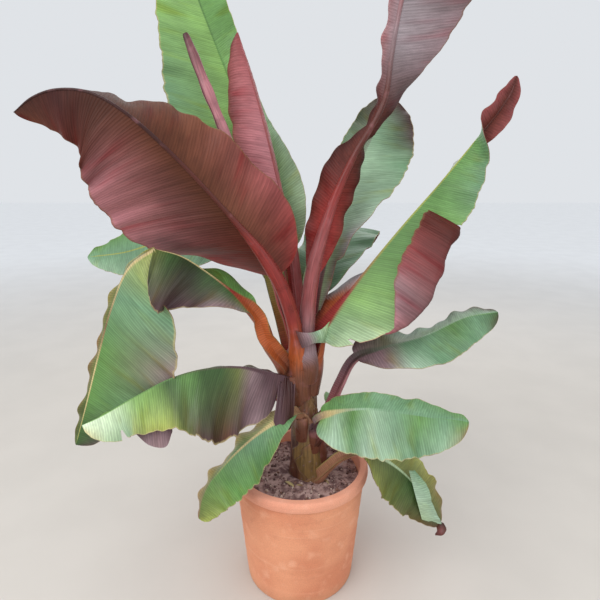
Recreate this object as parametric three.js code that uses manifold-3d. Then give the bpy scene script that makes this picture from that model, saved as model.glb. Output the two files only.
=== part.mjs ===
// A red-leaved banana plant in its round terracotta pot, in millimetres, +Z up.
// The origin is the middle of the pot's flat underside, and the plant is seen from -Y.
// Each leaf is one closed solid: a channelled stalk that opens into a folded blade with a rib below it.

import * as THREE from 'three';
import { mergeVertices } from 'three/addons/utils/BufferGeometryUtils.js';
import Module from 'manifold-3d';

const wasm = await Module();
wasm.setup();

// Driving dimensions of the pot and its soil
const POT_HEIGHT = 400;
const POT_FOOT_RADIUS = 180;
const POT_RIM_RADIUS = 225;
const POT_WALL = 18;
const POT_FLOOR = 25;
const RIM_DEPTH = 34;
const RIM_STEP = 9;
const RIM_ARCS = 6;
const POT_EASE = 5;
const SOIL_TOP = 362;
const POT_SIDES = 40;

// Driving dimensions of the trunk, which is a bundle of leaf sheaths
const TRUNK_FOOT_RADIUS = 66;
const TRUNK_WAIST_RADIUS = 42;
const TRUNK_CROWN_RADIUS = 54;
const TRUNK_WAIST_HEIGHT = 640;
const TRUNK_CROWN_HEIGHT = 770;
const TRUNK_TOP = 812;
const TRUNK_FOOT_SIDE = 26;
const TRUNK_LEAN = -20;
const TRUNK_FLARE_POWER = 1.5;
const TRUNK_TOP_SHARE = 0.14;
const TRUNK_SIDES = 24;
const TRUNK_RINGS = 14;

// Spaces between pieces that touch on the real plant
const CLEARANCE = 0.3;

// Shape shared by all leaves: the rib's shares are of its half width
const LEAF_RINGS = 14;
const THICKNESS_SHARE = 0.0102;
const STALK_WING = 4;
const RIB_AT_TIP = 0.22;
const RIB_SHOULDER = 0.7;
const RIB_DEPTH_AT_FOOT = 1.1;
const RIB_DEPTH_AT_TIP = 0.5;
const SHOULDER_DEPTH = 0.75;
const SECTION_STEPS = 6;

// Points closer than this are one point
const MERGE_DISTANCE = 0.001;

const FINISHES = {
  terracotta: { color: 0xd9906c, roughness: 0.85 },
  soil: { color: 0x3c2d2b, roughness: 1 },
  sheath: { color: 0x6a4130, roughness: 0.7 },
  wine: { color: 0x6a3236, roughness: 0.5 },
  rose: { color: 0xa5505a, roughness: 0.5 },
  green: { color: 0x6f9a66, roughness: 0.5 },
  olive: { color: 0x7f8a4c, roughness: 0.5 },
};

// Each leaf is described by
//   midrib: places from the foot on the trunk to the tip
//   stalk: share of that length that is bare stalk
//   upper: where the blade's upper face looks, at even steps from foot to tip
//   left, right: the two halves, seen along the midrib with the upper face up:
//     width of the half, fold up from flat and further curl to its margin, in degrees,
//     at even steps along the blade, and trim, the share of the width that is there
//   fullest: where along the blade it is widest
//   blunt: under 1 for a blunter outline
//   rib: half width of the stalk at its foot
//   taper: half width at the tip, as a share of rib, where it isn't the common share
const LEAVES = [
  {
    name: 'leaf_left_front_tall',
    finish: FINISHES.wine,
    midrib: [[-4, -26, 790], [-22, -52, 905], [-53, -85, 1010], [-105, -120, 1110],
      [-195, -175, 1235], [-300, -220, 1360], [-400, -245, 1455], [-475, -250, 1497],
      [-555, -240, 1505], [-620, -225, 1490], [-675, -208, 1460]],
    stalk: 0.24,
    upper: [[0.3, 1, 0], [0.2, 1, 0.1], [0.15, 1, 0.1], [0, 1, 0.1], [0, 1, 0.2]],
    left: {
      width: 180,
      fold: [40, 32, 22, 60, 90, 95],
      curl: [0, 5, 15, 30, 30, 30],
      trim: [1.05, 0.92, 0.72, 0.68, 0.88, 1, 1],
    },
    right: {
      width: 270,
      fold: [40, 12, 0, 0, 0],
      curl: [0, 5, 0],
      trim: [1.15, 1.1, 1, 0.85, 0.75, 0.7],
    },
    fullest: 0.4,
    blunt: 0.6,
    rib: 21,
  },
  {
    name: 'leaf_half_open',
    finish: FINISHES.rose,
    midrib: [[12, 24, 800], [-8, 46, 1000], [-28, 62, 1150], [-62, 75, 1290], [-115, 92, 1500],
      [-180, 115, 1720]],
    stalk: 0.3,
    upper: [[-0.8, 0.6, 0], [-0.8, 0.6, 0]],
    left: { width: 130, fold: [20, 10, 10], curl: [60, 130, 120], trim: [0.6, 0.8, 1, 1, 1] },
    right: { width: 130, fold: [20, 10, 10], curl: [60, 130, 120], trim: [0.6, 0.8, 1, 1, 1] },
    fullest: 0.5,
    blunt: 0.7,
    rib: 16,
  },
  {
    name: 'leaf_spear',
    finish: FINISHES.rose,
    midrib: [[-10, 6, 800], [-110, 2, 1135], [-207, 4, 1420], [-263, 8, 1565], [-310, 15, 1690]],
    stalk: 1,
    taper: 0.7,
    upper: [[0, -1, 0], [0, -1, 0]],
    left: { width: 0, fold: [0, 0], curl: [0, 0] },
    right: { width: 0, fold: [0, 0], curl: [0, 0] },
    fullest: 0.5,
    blunt: 1,
    rib: 18,
  },
  {
    name: 'leaf_back_left_tall',
    finish: FINISHES.green,
    midrib: [[-6, 50, 785], [-35, 118, 1040], [-78, 178, 1245], [-152, 235, 1440], [-230, 288, 1625],
      [-320, 345, 1845], [-375, 440, 1970], [-415, 560, 1995]],
    stalk: 0.22,
    upper: [[0.3, -0.9, 0.2], [0.3, -0.9, 0.3], [0.3, -0.8, 0.5], [0.1, 0, 1]],
    left: {
      width: 198,
      fold: [40, 8, 4, 0],
      curl: [0, 0, -10],
      trim: [1, 1, 1.1, 1.2, 1.16, 1.05, 1, 1, 1],
    },
    right: {
      width: 92,
      fold: [40, 25, 25, 10],
      curl: [0, 0, 0],
      trim: [1.3, 1.25, 0.95, 0.62, 0.62, 0.85, 1.15, 1.25, 1.2],
    },
    fullest: 0.42,
    blunt: 0.6,
    rib: 20,
  },
  {
    name: 'leaf_centre_tall',
    finish: FINISHES.wine,
    midrib: [[20, -20, 795], [23, -12, 920], [39, 4, 1045], [66, 20, 1145], [108, 36, 1265],
      [162, 50, 1380], [222, 60, 1480], [247, 62, 1540], [258, 64, 1640], [276, 72, 1760],
      [298, 58, 1868], [326, 12, 1968], [356, -62, 2045], [388, -150, 2090]],
    stalk: 0.17,
    upper: [[0.5, 0.85, 0], [0.5, 0.85, 0], [0.4, 0.9, 0], [-0.2, 1, 0], [-0.2, 1, 0.1],
      [-0.2, 1, 0.3], [-0.2, 0.6, 0.9]],
    left: {
      width: 245,
      fold: [40, 50, 45, 20, 10, 5, 0],
      curl: [0, 10, 20, 0, 0, 0, 0],
      trim: [0.5, 0.42, 0.3, 0.04, 0.38, 0.75, 1.05, 1.05, 1],
    },
    right: {
      width: 125,
      fold: [20, 10, 20, 50, 60, 40, 20],
      curl: [0, 0, 10, 60, 60, 40, 20],
      trim: [1.1, 1, 0.75, 0.04, 0.3, 0.6, 1, 1.2, 1.2],
    },
    fullest: 0.6,
    blunt: 0.55,
    rib: 22,
  },
  {
    name: 'leaf_back_right_tall',
    finish: FINISHES.green,
    midrib: [[34, 42, 790], [62, 105, 980], [122, 185, 1180], [200, 245, 1360], [303, 300, 1575]],
    stalk: 0.32,
    upper: [[-0.3, -0.9, 0.2], [-0.2, -0.95, 0.2], [-0.1, -0.9, 0.4]],
    left: { width: 110, fold: [40, 10, 10], curl: [0, 0, 0], trim: [0.7, 0.7, 0.7, 0.8, 1] },
    right: { width: 180, fold: [40, 5, 5], curl: [0, 0, 0], trim: [0.5, 0.6, 0.75, 0.95, 1] },
    fullest: 0.5,
    blunt: 0.5,
    rib: 18,
  },
  {
    name: 'leaf_right_arching',
    finish: FINISHES.green,
    midrib: [[46, 0, 788], [68, 10, 850], [100, 22, 905], [165, 50, 985], [315, 100, 1160],
      [440, 130, 1300], [542, 142, 1425], [600, 142, 1500], [640, 148, 1565], [655, 150, 1612]],
    stalk: 0.04,
    upper: [[-0.5, -0.6, 0.6], [-0.5, -0.6, 0.6], [-0.4, -0.8, 0.5], [-0.4, -0.8, 0.5],
      [-0.4, -0.8, 0.5], [-0.4, -0.8, 0.4], [-0.4, -0.8, 0.4], [-0.3, -0.9, 0.4],
      [-0.2, -0.9, 0.4], [-0.3, -0.9, 0.4], [-0.7, 0.7, 0.2], [-0.6, 0.8, 0.2], [-0.6, 0.8, 0.2]],
    left: {
      width: 120,
      fold: [30, -60, -90, -90, -60, -20],
      curl: [0, 0, 0, 0],
      trim: [1, 1, 1, 1, 1, 0.95, 0.85, 0.7, 0.4, 0.7, 0.8],
    },
    right: {
      width: 180,
      fold: [20, -10, -5, 0, 0],
      curl: [0, 10, 20, 10, 0],
      trim: [1.2, 1.1, 1.12, 1.18, 1.12, 1, 0.88, 0.7, 0.4, 0.5, 0.6],
    },
    fullest: 0.33,
    blunt: 0.5,
    rib: 20,
  },
  {
    name: 'leaf_right_middle',
    finish: FINISHES.green,
    midrib: [[58, -10, 535], [94, -12, 600], [126, -10, 680], [172, 0, 762], [265, 0, 800],
      [390, 10, 835], [515, 20, 890], [620, 30, 905]],
    stalk: 0.36,
    upper: [[-0.7, -0.4, 0.6], [-0.5, -0.6, 0.6], [-0.1, -0.7, 0.7], [0, -0.75, 0.65]],
    left: { width: 90, fold: [30, -50, -60, -30], curl: [0, 0, 0] },
    right: { width: 98, fold: [30, 0, 0, 0], curl: [0, 0, 0] },
    fullest: 0.5,
    blunt: 0.5,
    rib: 17,
  },
  {
    name: 'leaf_right_low',
    finish: FINISHES.green,
    midrib: [[46, -42, 560], [100, -110, 632], [185, -170, 675], [285, -220, 688], [375, -245, 685],
      [450, -255, 680]],
    stalk: 0.12,
    upper: [[-0.4, -0.5, 0.7], [-0.1, -0.8, 0.6], [0, -0.75, 0.65], [0, -0.7, 0.7]],
    left: { width: 40, fold: [30, 10, 0, 0], curl: [0, 0, 0] },
    right: { width: 128, fold: [30, -5, -5, 0], curl: [0, 0, 0] },
    fullest: 0.45,
    blunt: 0.5,
    rib: 16,
  },
  {
    name: 'leaf_right_hanging',
    finish: FINISHES.olive,
    midrib: [[56, -56, 380], [88, -74, 425], [132, -94, 478], [200, -112, 505], [295, -110, 450],
      [380, -100, 355], [455, -90, 235]],
    stalk: 0.34,
    upper: [[-0.5, -0.5, 0.6], [-0.2, -0.6, 0.8], [0.3, -0.7, 0.6], [0.6, -0.7, 0.3]],
    left: { width: 95, fold: [30, -10, -10, 0], curl: [0, -10, -10, 0] },
    right: { width: 95, fold: [30, -20, -20, 0], curl: [0, -10, -10, 0] },
    fullest: 0.45,
    blunt: 0.6,
    rib: 14,
  },
  {
    name: 'leaf_left_low',
    finish: FINISHES.green,
    midrib: [[2, -40, 597], [-58, -110, 612], [-150, -165, 570], [-230, -205, 500],
      [-278, -222, 425], [-292, -228, 360]],
    stalk: 0.1,
    upper: [[0, -0.5, 0.9], [-0.3, -0.7, 0.7], [-0.6, -0.7, 0.4]],
    left: {
      width: 98,
      fold: [20, -20, -20, 0],
      curl: [0, -10, -10, 0],
      trim: [0.2, 0.7, 1, 1, 1],
    },
    right: { width: 38, fold: [20, -40, -40, -20], curl: [0, 0, 0] },
    fullest: 0.5,
    blunt: 0.4,
    rib: 15,
  },
  {
    name: 'leaf_left_middle',
    finish: FINISHES.green,
    midrib: [[-22, -34, 705], [-80, -80, 746], [-165, -130, 788], [-265, -175, 800], [-350, -205, 785],
      [-445, -225, 740], [-535, -240, 690]],
    stalk: 0.08,
    upper: [[0, -0.9, 0.4], [0, -0.9, 0.4], [0, -0.9, 0.4], [-0.2, -0.9, 0.4]],
    left: {
      width: 185,
      fold: [0, 0, 0, 0],
      curl: [0, 10, 20, 10],
      trim: [1, 1, 1, 1, 0.95, 0.8, 0.82, 0.72, 0.65],
    },
    right: {
      width: 80,
      fold: [-80, -90, -90, -80],
      curl: [0, -10, -10, 0],
      trim: [0.05, 0.1, 0.35, 0.9, 1, 1, 1, 1, 1],
    },
    fullest: 0.38,
    blunt: 0.4,
    rib: 16,
  },
  {
    name: 'leaf_left_arching',
    finish: FINISHES.green,
    midrib: [[-32, -22, 735], [-72, -34, 792], [-100, -45, 842], [-122, -54, 910], [-180, -80, 985],
      [-260, -120, 1065], [-320, -145, 1110], [-385, -158, 1130]],
    stalk: 0.42,
    upper: [[-0.4, -0.3, 0.8], [-0.2, -0.6, 0.8], [-0.2, -0.6, 0.8]],
    left: { width: 120, fold: [30, -10, -10, 0], curl: [0, -10, -20] },
    right: { width: 110, fold: [20, -65, -65], curl: [0, 0, 0] },
    fullest: 0.75,
    blunt: 0.4,
    rib: 20,
  },
  {
    name: 'leaf_left_arching_end',
    finish: FINISHES.green,
    midrib: [[-384, -158, 1131], [-452, -164, 1082], [-510, -170, 965], [-555, -170, 840],
      [-605, -160, 700], [-660, -150, 550]],
    stalk: 0,
    upper: [[-0.4, -0.6, 0.7], [-0.1, -0.9, 0.2], [0.1, -0.9, 0.1]],
    left: { width: 228, fold: [-10, 0, 0, 0], curl: [-20, 0, 0], trim: [0.9, 0.9, 1, 1, 1] },
    right: { width: 60, fold: [-20, -30, -30, -20], curl: [0, 0, 0] },
    fullest: 0.48,
    blunt: 0.5,
    rib: 14,
  },
  {
    name: 'leaf_left_back',
    finish: FINISHES.green,
    midrib: [[-35, 30, 780], [-76, 60, 930], [-125, 90, 1055], [-280, 160, 1125], [-465, 220, 1105],
      [-620, 260, 1060], [-760, 280, 1040]],
    stalk: 0.3,
    upper: [[-0.4, -0.4, 0.7], [0, -0.75, 0.65], [0, -0.85, 0.5], [0, -0.8, 0.6]],
    left: { width: 115, fold: [30, 0, -10, 0], curl: [0, 0, 0] },
    right: { width: 115, fold: [30, 0, -10, 0], curl: [0, 0, 0] },
    fullest: 0.45,
    blunt: 0.6,
    rib: 16,
  },
  {
    name: 'leaf_back_right_arching',
    finish: FINISHES.green,
    midrib: [[30, 48, 740], [60, 120, 900], [105, 230, 1050], [165, 380, 1130], [225, 540, 1110],
      [270, 670, 1010]],
    stalk: 0.25,
    upper: [[-0.3, -0.7, 0.5], [-0.1, -0.4, 0.9], [0.1, 0, 1], [0.2, 0.4, 0.8]],
    left: { width: 120, fold: [30, 0, 0, 0], curl: [0, -10, -10] },
    right: { width: 120, fold: [30, 0, 0, 0], curl: [0, -10, -10] },
    fullest: 0.45,
    blunt: 0.6,
    rib: 17,
  },
  {
    name: 'leaf_back_left_low',
    finish: FINISHES.green,
    midrib: [[-13, 38, 520], [-100, 150, 580], [-210, 290, 540], [-290, 400, 440], [-340, 470, 330]],
    stalk: 0.2,
    upper: [[0.3, -0.5, 0.8], [0, 0, 1], [-0.3, 0.4, 0.8], [-0.5, 0.6, 0.5]],
    left: { width: 90, fold: [30, 0, 0, 0], curl: [0, -10, -10] },
    right: { width: 90, fold: [30, 0, 0, 0], curl: [0, -10, -10] },
    fullest: 0.45,
    blunt: 0.6,
    rib: 15,
  },
  {
    name: 'leaf_back_right_low',
    finish: FINISHES.green,
    midrib: [[52, 42, 480], [118, 140, 530], [205, 250, 490], [300, 350, 400], [360, 425, 290]],
    stalk: 0.2,
    upper: [[-0.3, -0.5, 0.8], [0, 0, 1], [0.3, 0.4, 0.8], [0.5, 0.6, 0.5]],
    left: { width: 85, fold: [30, 0, 0, 0], curl: [0, -10, -10] },
    right: { width: 85, fold: [30, 0, 0, 0], curl: [0, -10, -10] },
    fullest: 0.45,
    blunt: 0.6,
    rib: 15,
  },
  {
    name: 'leaf_back_middle',
    finish: FINISHES.green,
    midrib: [[-3, 52, 730], [-32, 130, 900], [-60, 250, 1020], [-85, 400, 1060], [-105, 560, 1000],
      [-120, 690, 880]],
    stalk: 0.25,
    upper: [[0, -0.8, 0.5], [0, -0.4, 0.9], [0, 0, 1], [0, 0.5, 0.8]],
    left: { width: 110, fold: [30, 0, 0, 0], curl: [0, -10, -10] },
    right: { width: 110, fold: [30, 0, 0, 0], curl: [0, -10, -10] },
    fullest: 0.45,
    blunt: 0.6,
    rib: 17,
  },
];

// Values at even steps, read anywhere between the first and the last.
function along(values, share) {
  const place = THREE.MathUtils.clamp(share, 0, 1) * (values.length - 1);
  const step = Math.min(Math.floor(place), values.length - 2);
  return THREE.MathUtils.lerp(values[step], values[step + 1], place - step);
}

// Directions at even steps, read the same way.
function directionAlong(directions, share) {
  const [x, y, z] = [0, 1, 2].map((axis) => along(directions.map((one) => one[axis]), share));
  return new THREE.Vector3(x, y, z);
}

// Share of the full width at a place along the blade, 0 at both ends.
function outline(leaf, share) {
  const power = Math.log(0.5) / Math.log(leaf.fullest);
  const inside = THREE.MathUtils.clamp(share, 0, 1);
  return Math.max(Math.sin(Math.PI * inside ** power), 0) ** leaf.blunt;
}

// A closed body through rings of points, with a fan over each end.
function loft(rings) {
  const count = rings[0].length;
  const positions = [];
  const indices = [];
  for (const ring of rings) {
    for (const point of ring) {
      positions.push(point.x, point.y, point.z);
    }
  }
  for (let row = 0; row < rings.length - 1; row += 1) {
    for (let column = 0; column < count; column += 1) {
      const next = (column + 1) % count;
      const here = row * count;
      const there = here + count;
      indices.push(here + column, here + next, there + next);
      indices.push(here + column, there + next, there + column);
    }
  }
  const lastRow = (rings.length - 1) * count;
  for (let column = 1; column < count - 1; column += 1) {
    indices.push(0, column + 1, column);
    indices.push(lastRow, lastRow + column, lastRow + column + 1);
  }
  const geometry = new THREE.BufferGeometry();
  geometry.setAttribute('position', new THREE.Float32BufferAttribute(positions, 3));
  geometry.setIndex(indices);
  return facedOutward(geometry);
}

// Turns every face over where the body encloses a negative volume.
function facedOutward(geometry) {
  const position = geometry.getAttribute('position');
  const index = geometry.getIndex();
  const corners = [new THREE.Vector3(), new THREE.Vector3(), new THREE.Vector3()];
  let volume = 0;
  for (let start = 0; start < index.count; start += 3) {
    corners.forEach((corner, side) => corner.fromBufferAttribute(position, index.getX(start + side)));
    volume += corners[0].dot(corners[1].clone().cross(corners[2]));
  }
  if (volume < 0) {
    for (let start = 0; start < index.count; start += 3) {
      const second = index.getX(start + 1);
      index.setX(start + 1, index.getX(start + 2));
      index.setX(start + 2, second);
    }
  }
  return geometry;
}

// A solid for joining and cutting.
function solidOf(geometry) {
  const bare = geometry.clone();
  bare.deleteAttribute('normal');
  bare.deleteAttribute('uv');
  const merged = mergeVertices(bare, MERGE_DISTANCE);
  return new wasm.Manifold(new wasm.Mesh({
    numProp: 3,
    vertProperties: new Float32Array(merged.getAttribute('position').array),
    triVerts: new Uint32Array(merged.getIndex().array),
  }));
}

// The geometry of a solid after joining and cutting.
function geometryOf(solid) {
  const mesh = solid.getMesh();
  const geometry = new THREE.BufferGeometry();
  geometry.setAttribute('position', new THREE.BufferAttribute(mesh.vertProperties, 3));
  geometry.setIndex(new THREE.BufferAttribute(mesh.triVerts, 1));
  return geometry;
}

function makeMesh(name, geometry, finish) {
  geometry.computeVertexNormals();
  const material = new THREE.MeshStandardMaterial({ ...finish, metalness: 0 });
  const mesh = new THREE.Mesh(geometry, material);
  mesh.name = name;
  return mesh;
}

// The inside radius of the pot at a height.
function potInside(height) {
  const outside = THREE.MathUtils.lerp(POT_FOOT_RADIUS, POT_RIM_RADIUS - RIM_STEP, height / POT_HEIGHT);
  return outside - POT_WALL;
}

function makePot() {
  const rimFoot = POT_HEIGHT - RIM_DEPTH;
  const wallTop = potInside(rimFoot) + POT_WALL;
  const half = RIM_DEPTH / 2;
  const profile = [
    new THREE.Vector2(0, 0),
    new THREE.Vector2(POT_FOOT_RADIUS - POT_EASE, 0),
    new THREE.Vector2(POT_FOOT_RADIUS, POT_EASE),
    new THREE.Vector2(wallTop, rimFoot),
  ];
  for (let step = 0; step <= RIM_ARCS; step += 1) {
    const turn = -Math.PI / 2 + (Math.PI * step) / RIM_ARCS;
    const bulge = POT_RIM_RADIUS - RIM_STEP + RIM_STEP * Math.cos(turn);
    profile.push(new THREE.Vector2(bulge, rimFoot + half + half * Math.sin(turn)));
  }
  profile.push(
    new THREE.Vector2(potInside(POT_HEIGHT) + POT_EASE, POT_HEIGHT),
    new THREE.Vector2(potInside(POT_HEIGHT), POT_HEIGHT - POT_EASE),
    new THREE.Vector2(potInside(POT_FLOOR), POT_FLOOR),
    new THREE.Vector2(0, POT_FLOOR),
  );
  return makeMesh('pot', turned(profile), FINISHES.terracotta);
}

// A turned body about the vertical axis, with its seam and its poles closed.
function turned(profile) {
  const geometry = new THREE.LatheGeometry(profile, POT_SIDES);
  geometry.rotateX(Math.PI / 2);
  return facedOutward(geometryOf(solidOf(geometry)));
}

function makeSoil() {
  const foot = POT_FLOOR + CLEARANCE;
  const profile = [
    new THREE.Vector2(0, foot),
    new THREE.Vector2(potInside(foot) - CLEARANCE, foot),
    new THREE.Vector2(potInside(SOIL_TOP) - CLEARANCE, SOIL_TOP),
    new THREE.Vector2(0, SOIL_TOP),
  ];
  return makeMesh('soil', turned(profile), FINISHES.soil);
}

// Radius of the trunk at a height: a flared foot, a waist, and a crown that swells where the
// stalks part, with a domed top.
function trunkRadius(height) {
  const foot = SOIL_TOP + CLEARANCE;
  if (height < TRUNK_WAIST_HEIGHT) {
    const share = (TRUNK_WAIST_HEIGHT - height) / (TRUNK_WAIST_HEIGHT - foot);
    return TRUNK_WAIST_RADIUS + (TRUNK_FOOT_RADIUS - TRUNK_WAIST_RADIUS) * share ** TRUNK_FLARE_POWER;
  }
  if (height < TRUNK_CROWN_HEIGHT) {
    const share = (height - TRUNK_WAIST_HEIGHT) / (TRUNK_CROWN_HEIGHT - TRUNK_WAIST_HEIGHT);
    return THREE.MathUtils.lerp(TRUNK_WAIST_RADIUS, TRUNK_CROWN_RADIUS, share * share);
  }
  const share = Math.min((height - TRUNK_CROWN_HEIGHT) / (TRUNK_TOP - TRUNK_CROWN_HEIGHT), 1);
  return TRUNK_CROWN_RADIUS * Math.max(Math.sqrt(1 - share * share), TRUNK_TOP_SHARE);
}

// The trunk, or with grow a body that stands that far outside it.
function trunkGeometry(grow) {
  const foot = SOIL_TOP + CLEARANCE;
  const rings = [];
  for (let row = 0; row <= TRUNK_RINGS; row += 1) {
    const share = Math.sin((Math.PI / 2) * (row / TRUNK_RINGS));
    const height = THREE.MathUtils.lerp(foot, TRUNK_TOP, share);
    const middle = TRUNK_FOOT_SIDE + TRUNK_LEAN * share;
    const ring = [];
    for (let side = 0; side < TRUNK_SIDES; side += 1) {
      const turn = (2 * Math.PI * side) / TRUNK_SIDES;
      const radius = trunkRadius(height) + grow;
      ring.push(new THREE.Vector3(middle + radius * Math.cos(turn), radius * Math.sin(turn), height));
    }
    rings.push(ring);
  }
  rings[rings.length - 1].forEach((point) => point.setZ(point.z + grow));
  rings[0].forEach((point) => point.setZ(point.z - grow));
  return loft(rings);
}

// One point of a half blade: out from the midrib by a distance, on the curled section.
function sectionPoint(fold, curl, full, distance) {
  let across = 0;
  let rise = 0;
  const step = distance / SECTION_STEPS;
  for (let part = 0; part < SECTION_STEPS; part += 1) {
    const turn = fold + (curl * step * (part + 0.5)) / full;
    across += step * Math.cos(turn);
    rise += step * Math.sin(turn);
  }
  return { across, rise, turn: fold + (curl * distance) / full };
}

// The ring of points round a leaf at one place along its midrib, grown outward for a cutting body.
function leafRing(leaf, curve, share, grow) {
  const forward = curve.getTangentAt(share);
  const centre = curve.getPointAt(share).addScaledVector(forward, grow * (2 * share - 1));
  const upward = directionAlong(leaf.upper, share);
  upward.addScaledVector(forward, -upward.dot(forward)).normalize();
  const right = forward.clone().cross(upward);
  const bladed = leaf.stalk < 1;
  const blade = bladed ? THREE.MathUtils.clamp((share - leaf.stalk) / (1 - leaf.stalk), 0, 1) : 0;
  const rib = leaf.rib * THREE.MathUtils.lerp(1, leaf.taper ?? RIB_AT_TIP, share);
  const half = (curve.getLength() * THICKNESS_SHARE) / 2 + grow;
  const ribDepth = bladed ? THREE.MathUtils.lerp(RIB_DEPTH_AT_FOOT, RIB_DEPTH_AT_TIP, share) : 1;
  const deep = half + rib * ribDepth;
  const place = (across, rise) => centre.clone().addScaledVector(right, across).addScaledVector(upward, rise);
  const top = [];
  const bottom = [];
  for (const [sign, side] of [[-1, leaf.left], [1, leaf.right]]) {
    const trim = side.trim ? along(side.trim, blade) : 1;
    const full = rib + STALK_WING + side.width * trim * outline(leaf, blade);
    const fold = THREE.MathUtils.degToRad(along(side.fold, blade));
    const curl = THREE.MathUtils.degToRad(along(side.curl, blade));
    const stops = [RIB_SHOULDER * rib, (rib + full) / 2, full];
    const upperSide = [];
    const lowerSide = [];
    stops.forEach((distance, stop) => {
      const point = sectionPoint(fold, curl, full, distance);
      const depth = stop === 0 ? THREE.MathUtils.lerp(half, deep, SHOULDER_DEPTH) : half;
      const edge = distance === full ? grow : 0;
      const [level, steep] = [Math.cos(point.turn), Math.sin(point.turn)];
      const across = point.across + edge * level;
      const rise = point.rise + edge * steep;
      upperSide.push(place(sign * (across - half * steep), rise + half * level));
      lowerSide.push(place(sign * (across + depth * steep), rise - depth * level));
    });
    top.push(upperSide);
    bottom.push(lowerSide);
  }
  const [topLeft, topRight] = top;
  const [bottomLeft, bottomRight] = bottom;
  return [
    ...topLeft.reverse(), place(0, half), ...topRight,
    ...bottomRight.reverse(), place(0, -deep), ...bottomLeft,
  ];
}

function leafGeometry(leaf, grow) {
  const places = leaf.midrib.map((point) => new THREE.Vector3(...point));
  const curve = new THREE.CatmullRomCurve3(places, false, 'centripetal');
  const rings = [];
  for (let row = 0; row <= LEAF_RINGS; row += 1) {
    rings.push(leafRing(leaf, curve, row / LEAF_RINGS, grow));
  }
  return loft(rings);
}

// Leaves in the order in which they are cut clear of the trunk and of those before them.
function makeLeaves() {
  const blocks = [solidOf(trunkGeometry(CLEARANCE))];
  const meshes = [];
  for (const leaf of LEAVES) {
    let solid = solidOf(leafGeometry(leaf, 0));
    for (const block of blocks) {
      solid = solid.subtract(block);
    }
    const whole = solid.decompose().sort((one, other) => other.volume() - one.volume())[0];
    meshes.push(makeMesh(leaf.name, geometryOf(whole), leaf.finish));
    blocks.push(solidOf(leafGeometry(leaf, CLEARANCE)));
  }
  return meshes;
}

const plant = new THREE.Group();
plant.name = 'banana_plant';
plant.add(makePot(), makeSoil());
plant.add(makeMesh('trunk', trunkGeometry(0), FINISHES.sheath));
plant.add(...makeLeaves());

export default plant;
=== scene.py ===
"""A red-leaved banana plant in its round terracotta pot.

The solids of the frame give the plant's true outline. Here each leaf is built again by the same
rule, finer, with a thin blade, a rib and a stalk, and the trunk, the soil and the pot get their
relief. Sizes are in millimetres and become metres where a mesh takes its points.
"""

import logging
import math
import random
from dataclasses import dataclass
from enum import Enum
from functools import cache

import bpy
import numpy as np
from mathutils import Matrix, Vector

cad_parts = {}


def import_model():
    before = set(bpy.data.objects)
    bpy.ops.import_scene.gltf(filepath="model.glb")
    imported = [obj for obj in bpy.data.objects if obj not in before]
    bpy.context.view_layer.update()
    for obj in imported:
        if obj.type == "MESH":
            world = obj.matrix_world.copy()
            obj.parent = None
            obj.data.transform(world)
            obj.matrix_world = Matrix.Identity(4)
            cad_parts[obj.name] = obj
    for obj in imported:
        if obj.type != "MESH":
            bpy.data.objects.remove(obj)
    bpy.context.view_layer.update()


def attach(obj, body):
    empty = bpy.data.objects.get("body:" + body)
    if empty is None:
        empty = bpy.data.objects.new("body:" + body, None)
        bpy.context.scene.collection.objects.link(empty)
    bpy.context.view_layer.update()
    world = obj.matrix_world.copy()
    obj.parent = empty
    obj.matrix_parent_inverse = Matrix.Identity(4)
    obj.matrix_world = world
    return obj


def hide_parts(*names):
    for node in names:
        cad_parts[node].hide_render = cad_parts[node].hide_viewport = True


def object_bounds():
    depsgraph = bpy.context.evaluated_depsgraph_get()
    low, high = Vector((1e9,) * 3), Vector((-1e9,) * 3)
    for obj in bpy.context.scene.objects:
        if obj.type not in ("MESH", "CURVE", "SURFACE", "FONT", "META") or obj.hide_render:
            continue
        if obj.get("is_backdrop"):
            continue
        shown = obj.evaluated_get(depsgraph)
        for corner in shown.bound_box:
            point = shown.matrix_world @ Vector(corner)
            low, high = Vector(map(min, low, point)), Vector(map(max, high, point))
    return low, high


LOG = logging.getLogger("banana_plant")

MM = 0.001
TURN = 2.0 * math.pi
MERGE_DISTANCE = 0.02
BODY = "root"
SOIL_TOP = 362.0
SPEAR_NAME = "leaf_spear"

Place = tuple[float, float, float]
Steps = tuple[float, ...]
Layers = dict[str, np.ndarray]
Piece = bpy.types.Object
Socket = bpy.types.NodeSocket


class Tint(Enum):
    """Plain colours of the plant, as display values from 0 to 255."""

    WINE = (88, 40, 32)
    CLARET = (58, 27, 24)
    RUST = (84, 46, 30)
    ROSE = (150, 80, 80)
    PINK = (178, 118, 124)
    RED = (140, 50, 46)
    ORANGE = (166, 84, 44)
    PLUM = (84, 58, 64)
    MAUVE = (138, 114, 118)
    LILAC = (150, 138, 142)
    FOREST = (44, 58, 32)
    IVY = (58, 86, 44)
    GREEN = (92, 132, 70)
    APPLE = (122, 160, 88)
    SEA = (104, 140, 106)
    SILVER = (140, 168, 138)
    MIST = (158, 182, 158)
    SAGE = (168, 190, 150)
    MINT = (196, 214, 180)
    LIME = (148, 154, 74)
    OLIVE = (98, 106, 56)
    STRAW = (190, 172, 122)
    DRY = (124, 92, 64)
    TAN = (156, 112, 86)
    BARK = (108, 65, 48)
    KHAKI = (122, 96, 54)
    UMBER = (76, 44, 34)

    def light(self) -> Place:
        """Gives the colour as light from 0 to 1."""
        return as_light(self.value)


TintPair = tuple[Tint, Tint]


def as_light(display: Place) -> Place:
    """Turns display values from 0 to 255 into light from 0 to 1."""
    shares = [part / 255.0 for part in display]
    return tuple(part / 12.92 if part <= 0.04045 else ((part + 0.055) / 1.055) ** 2.4 for part in shares)


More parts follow.
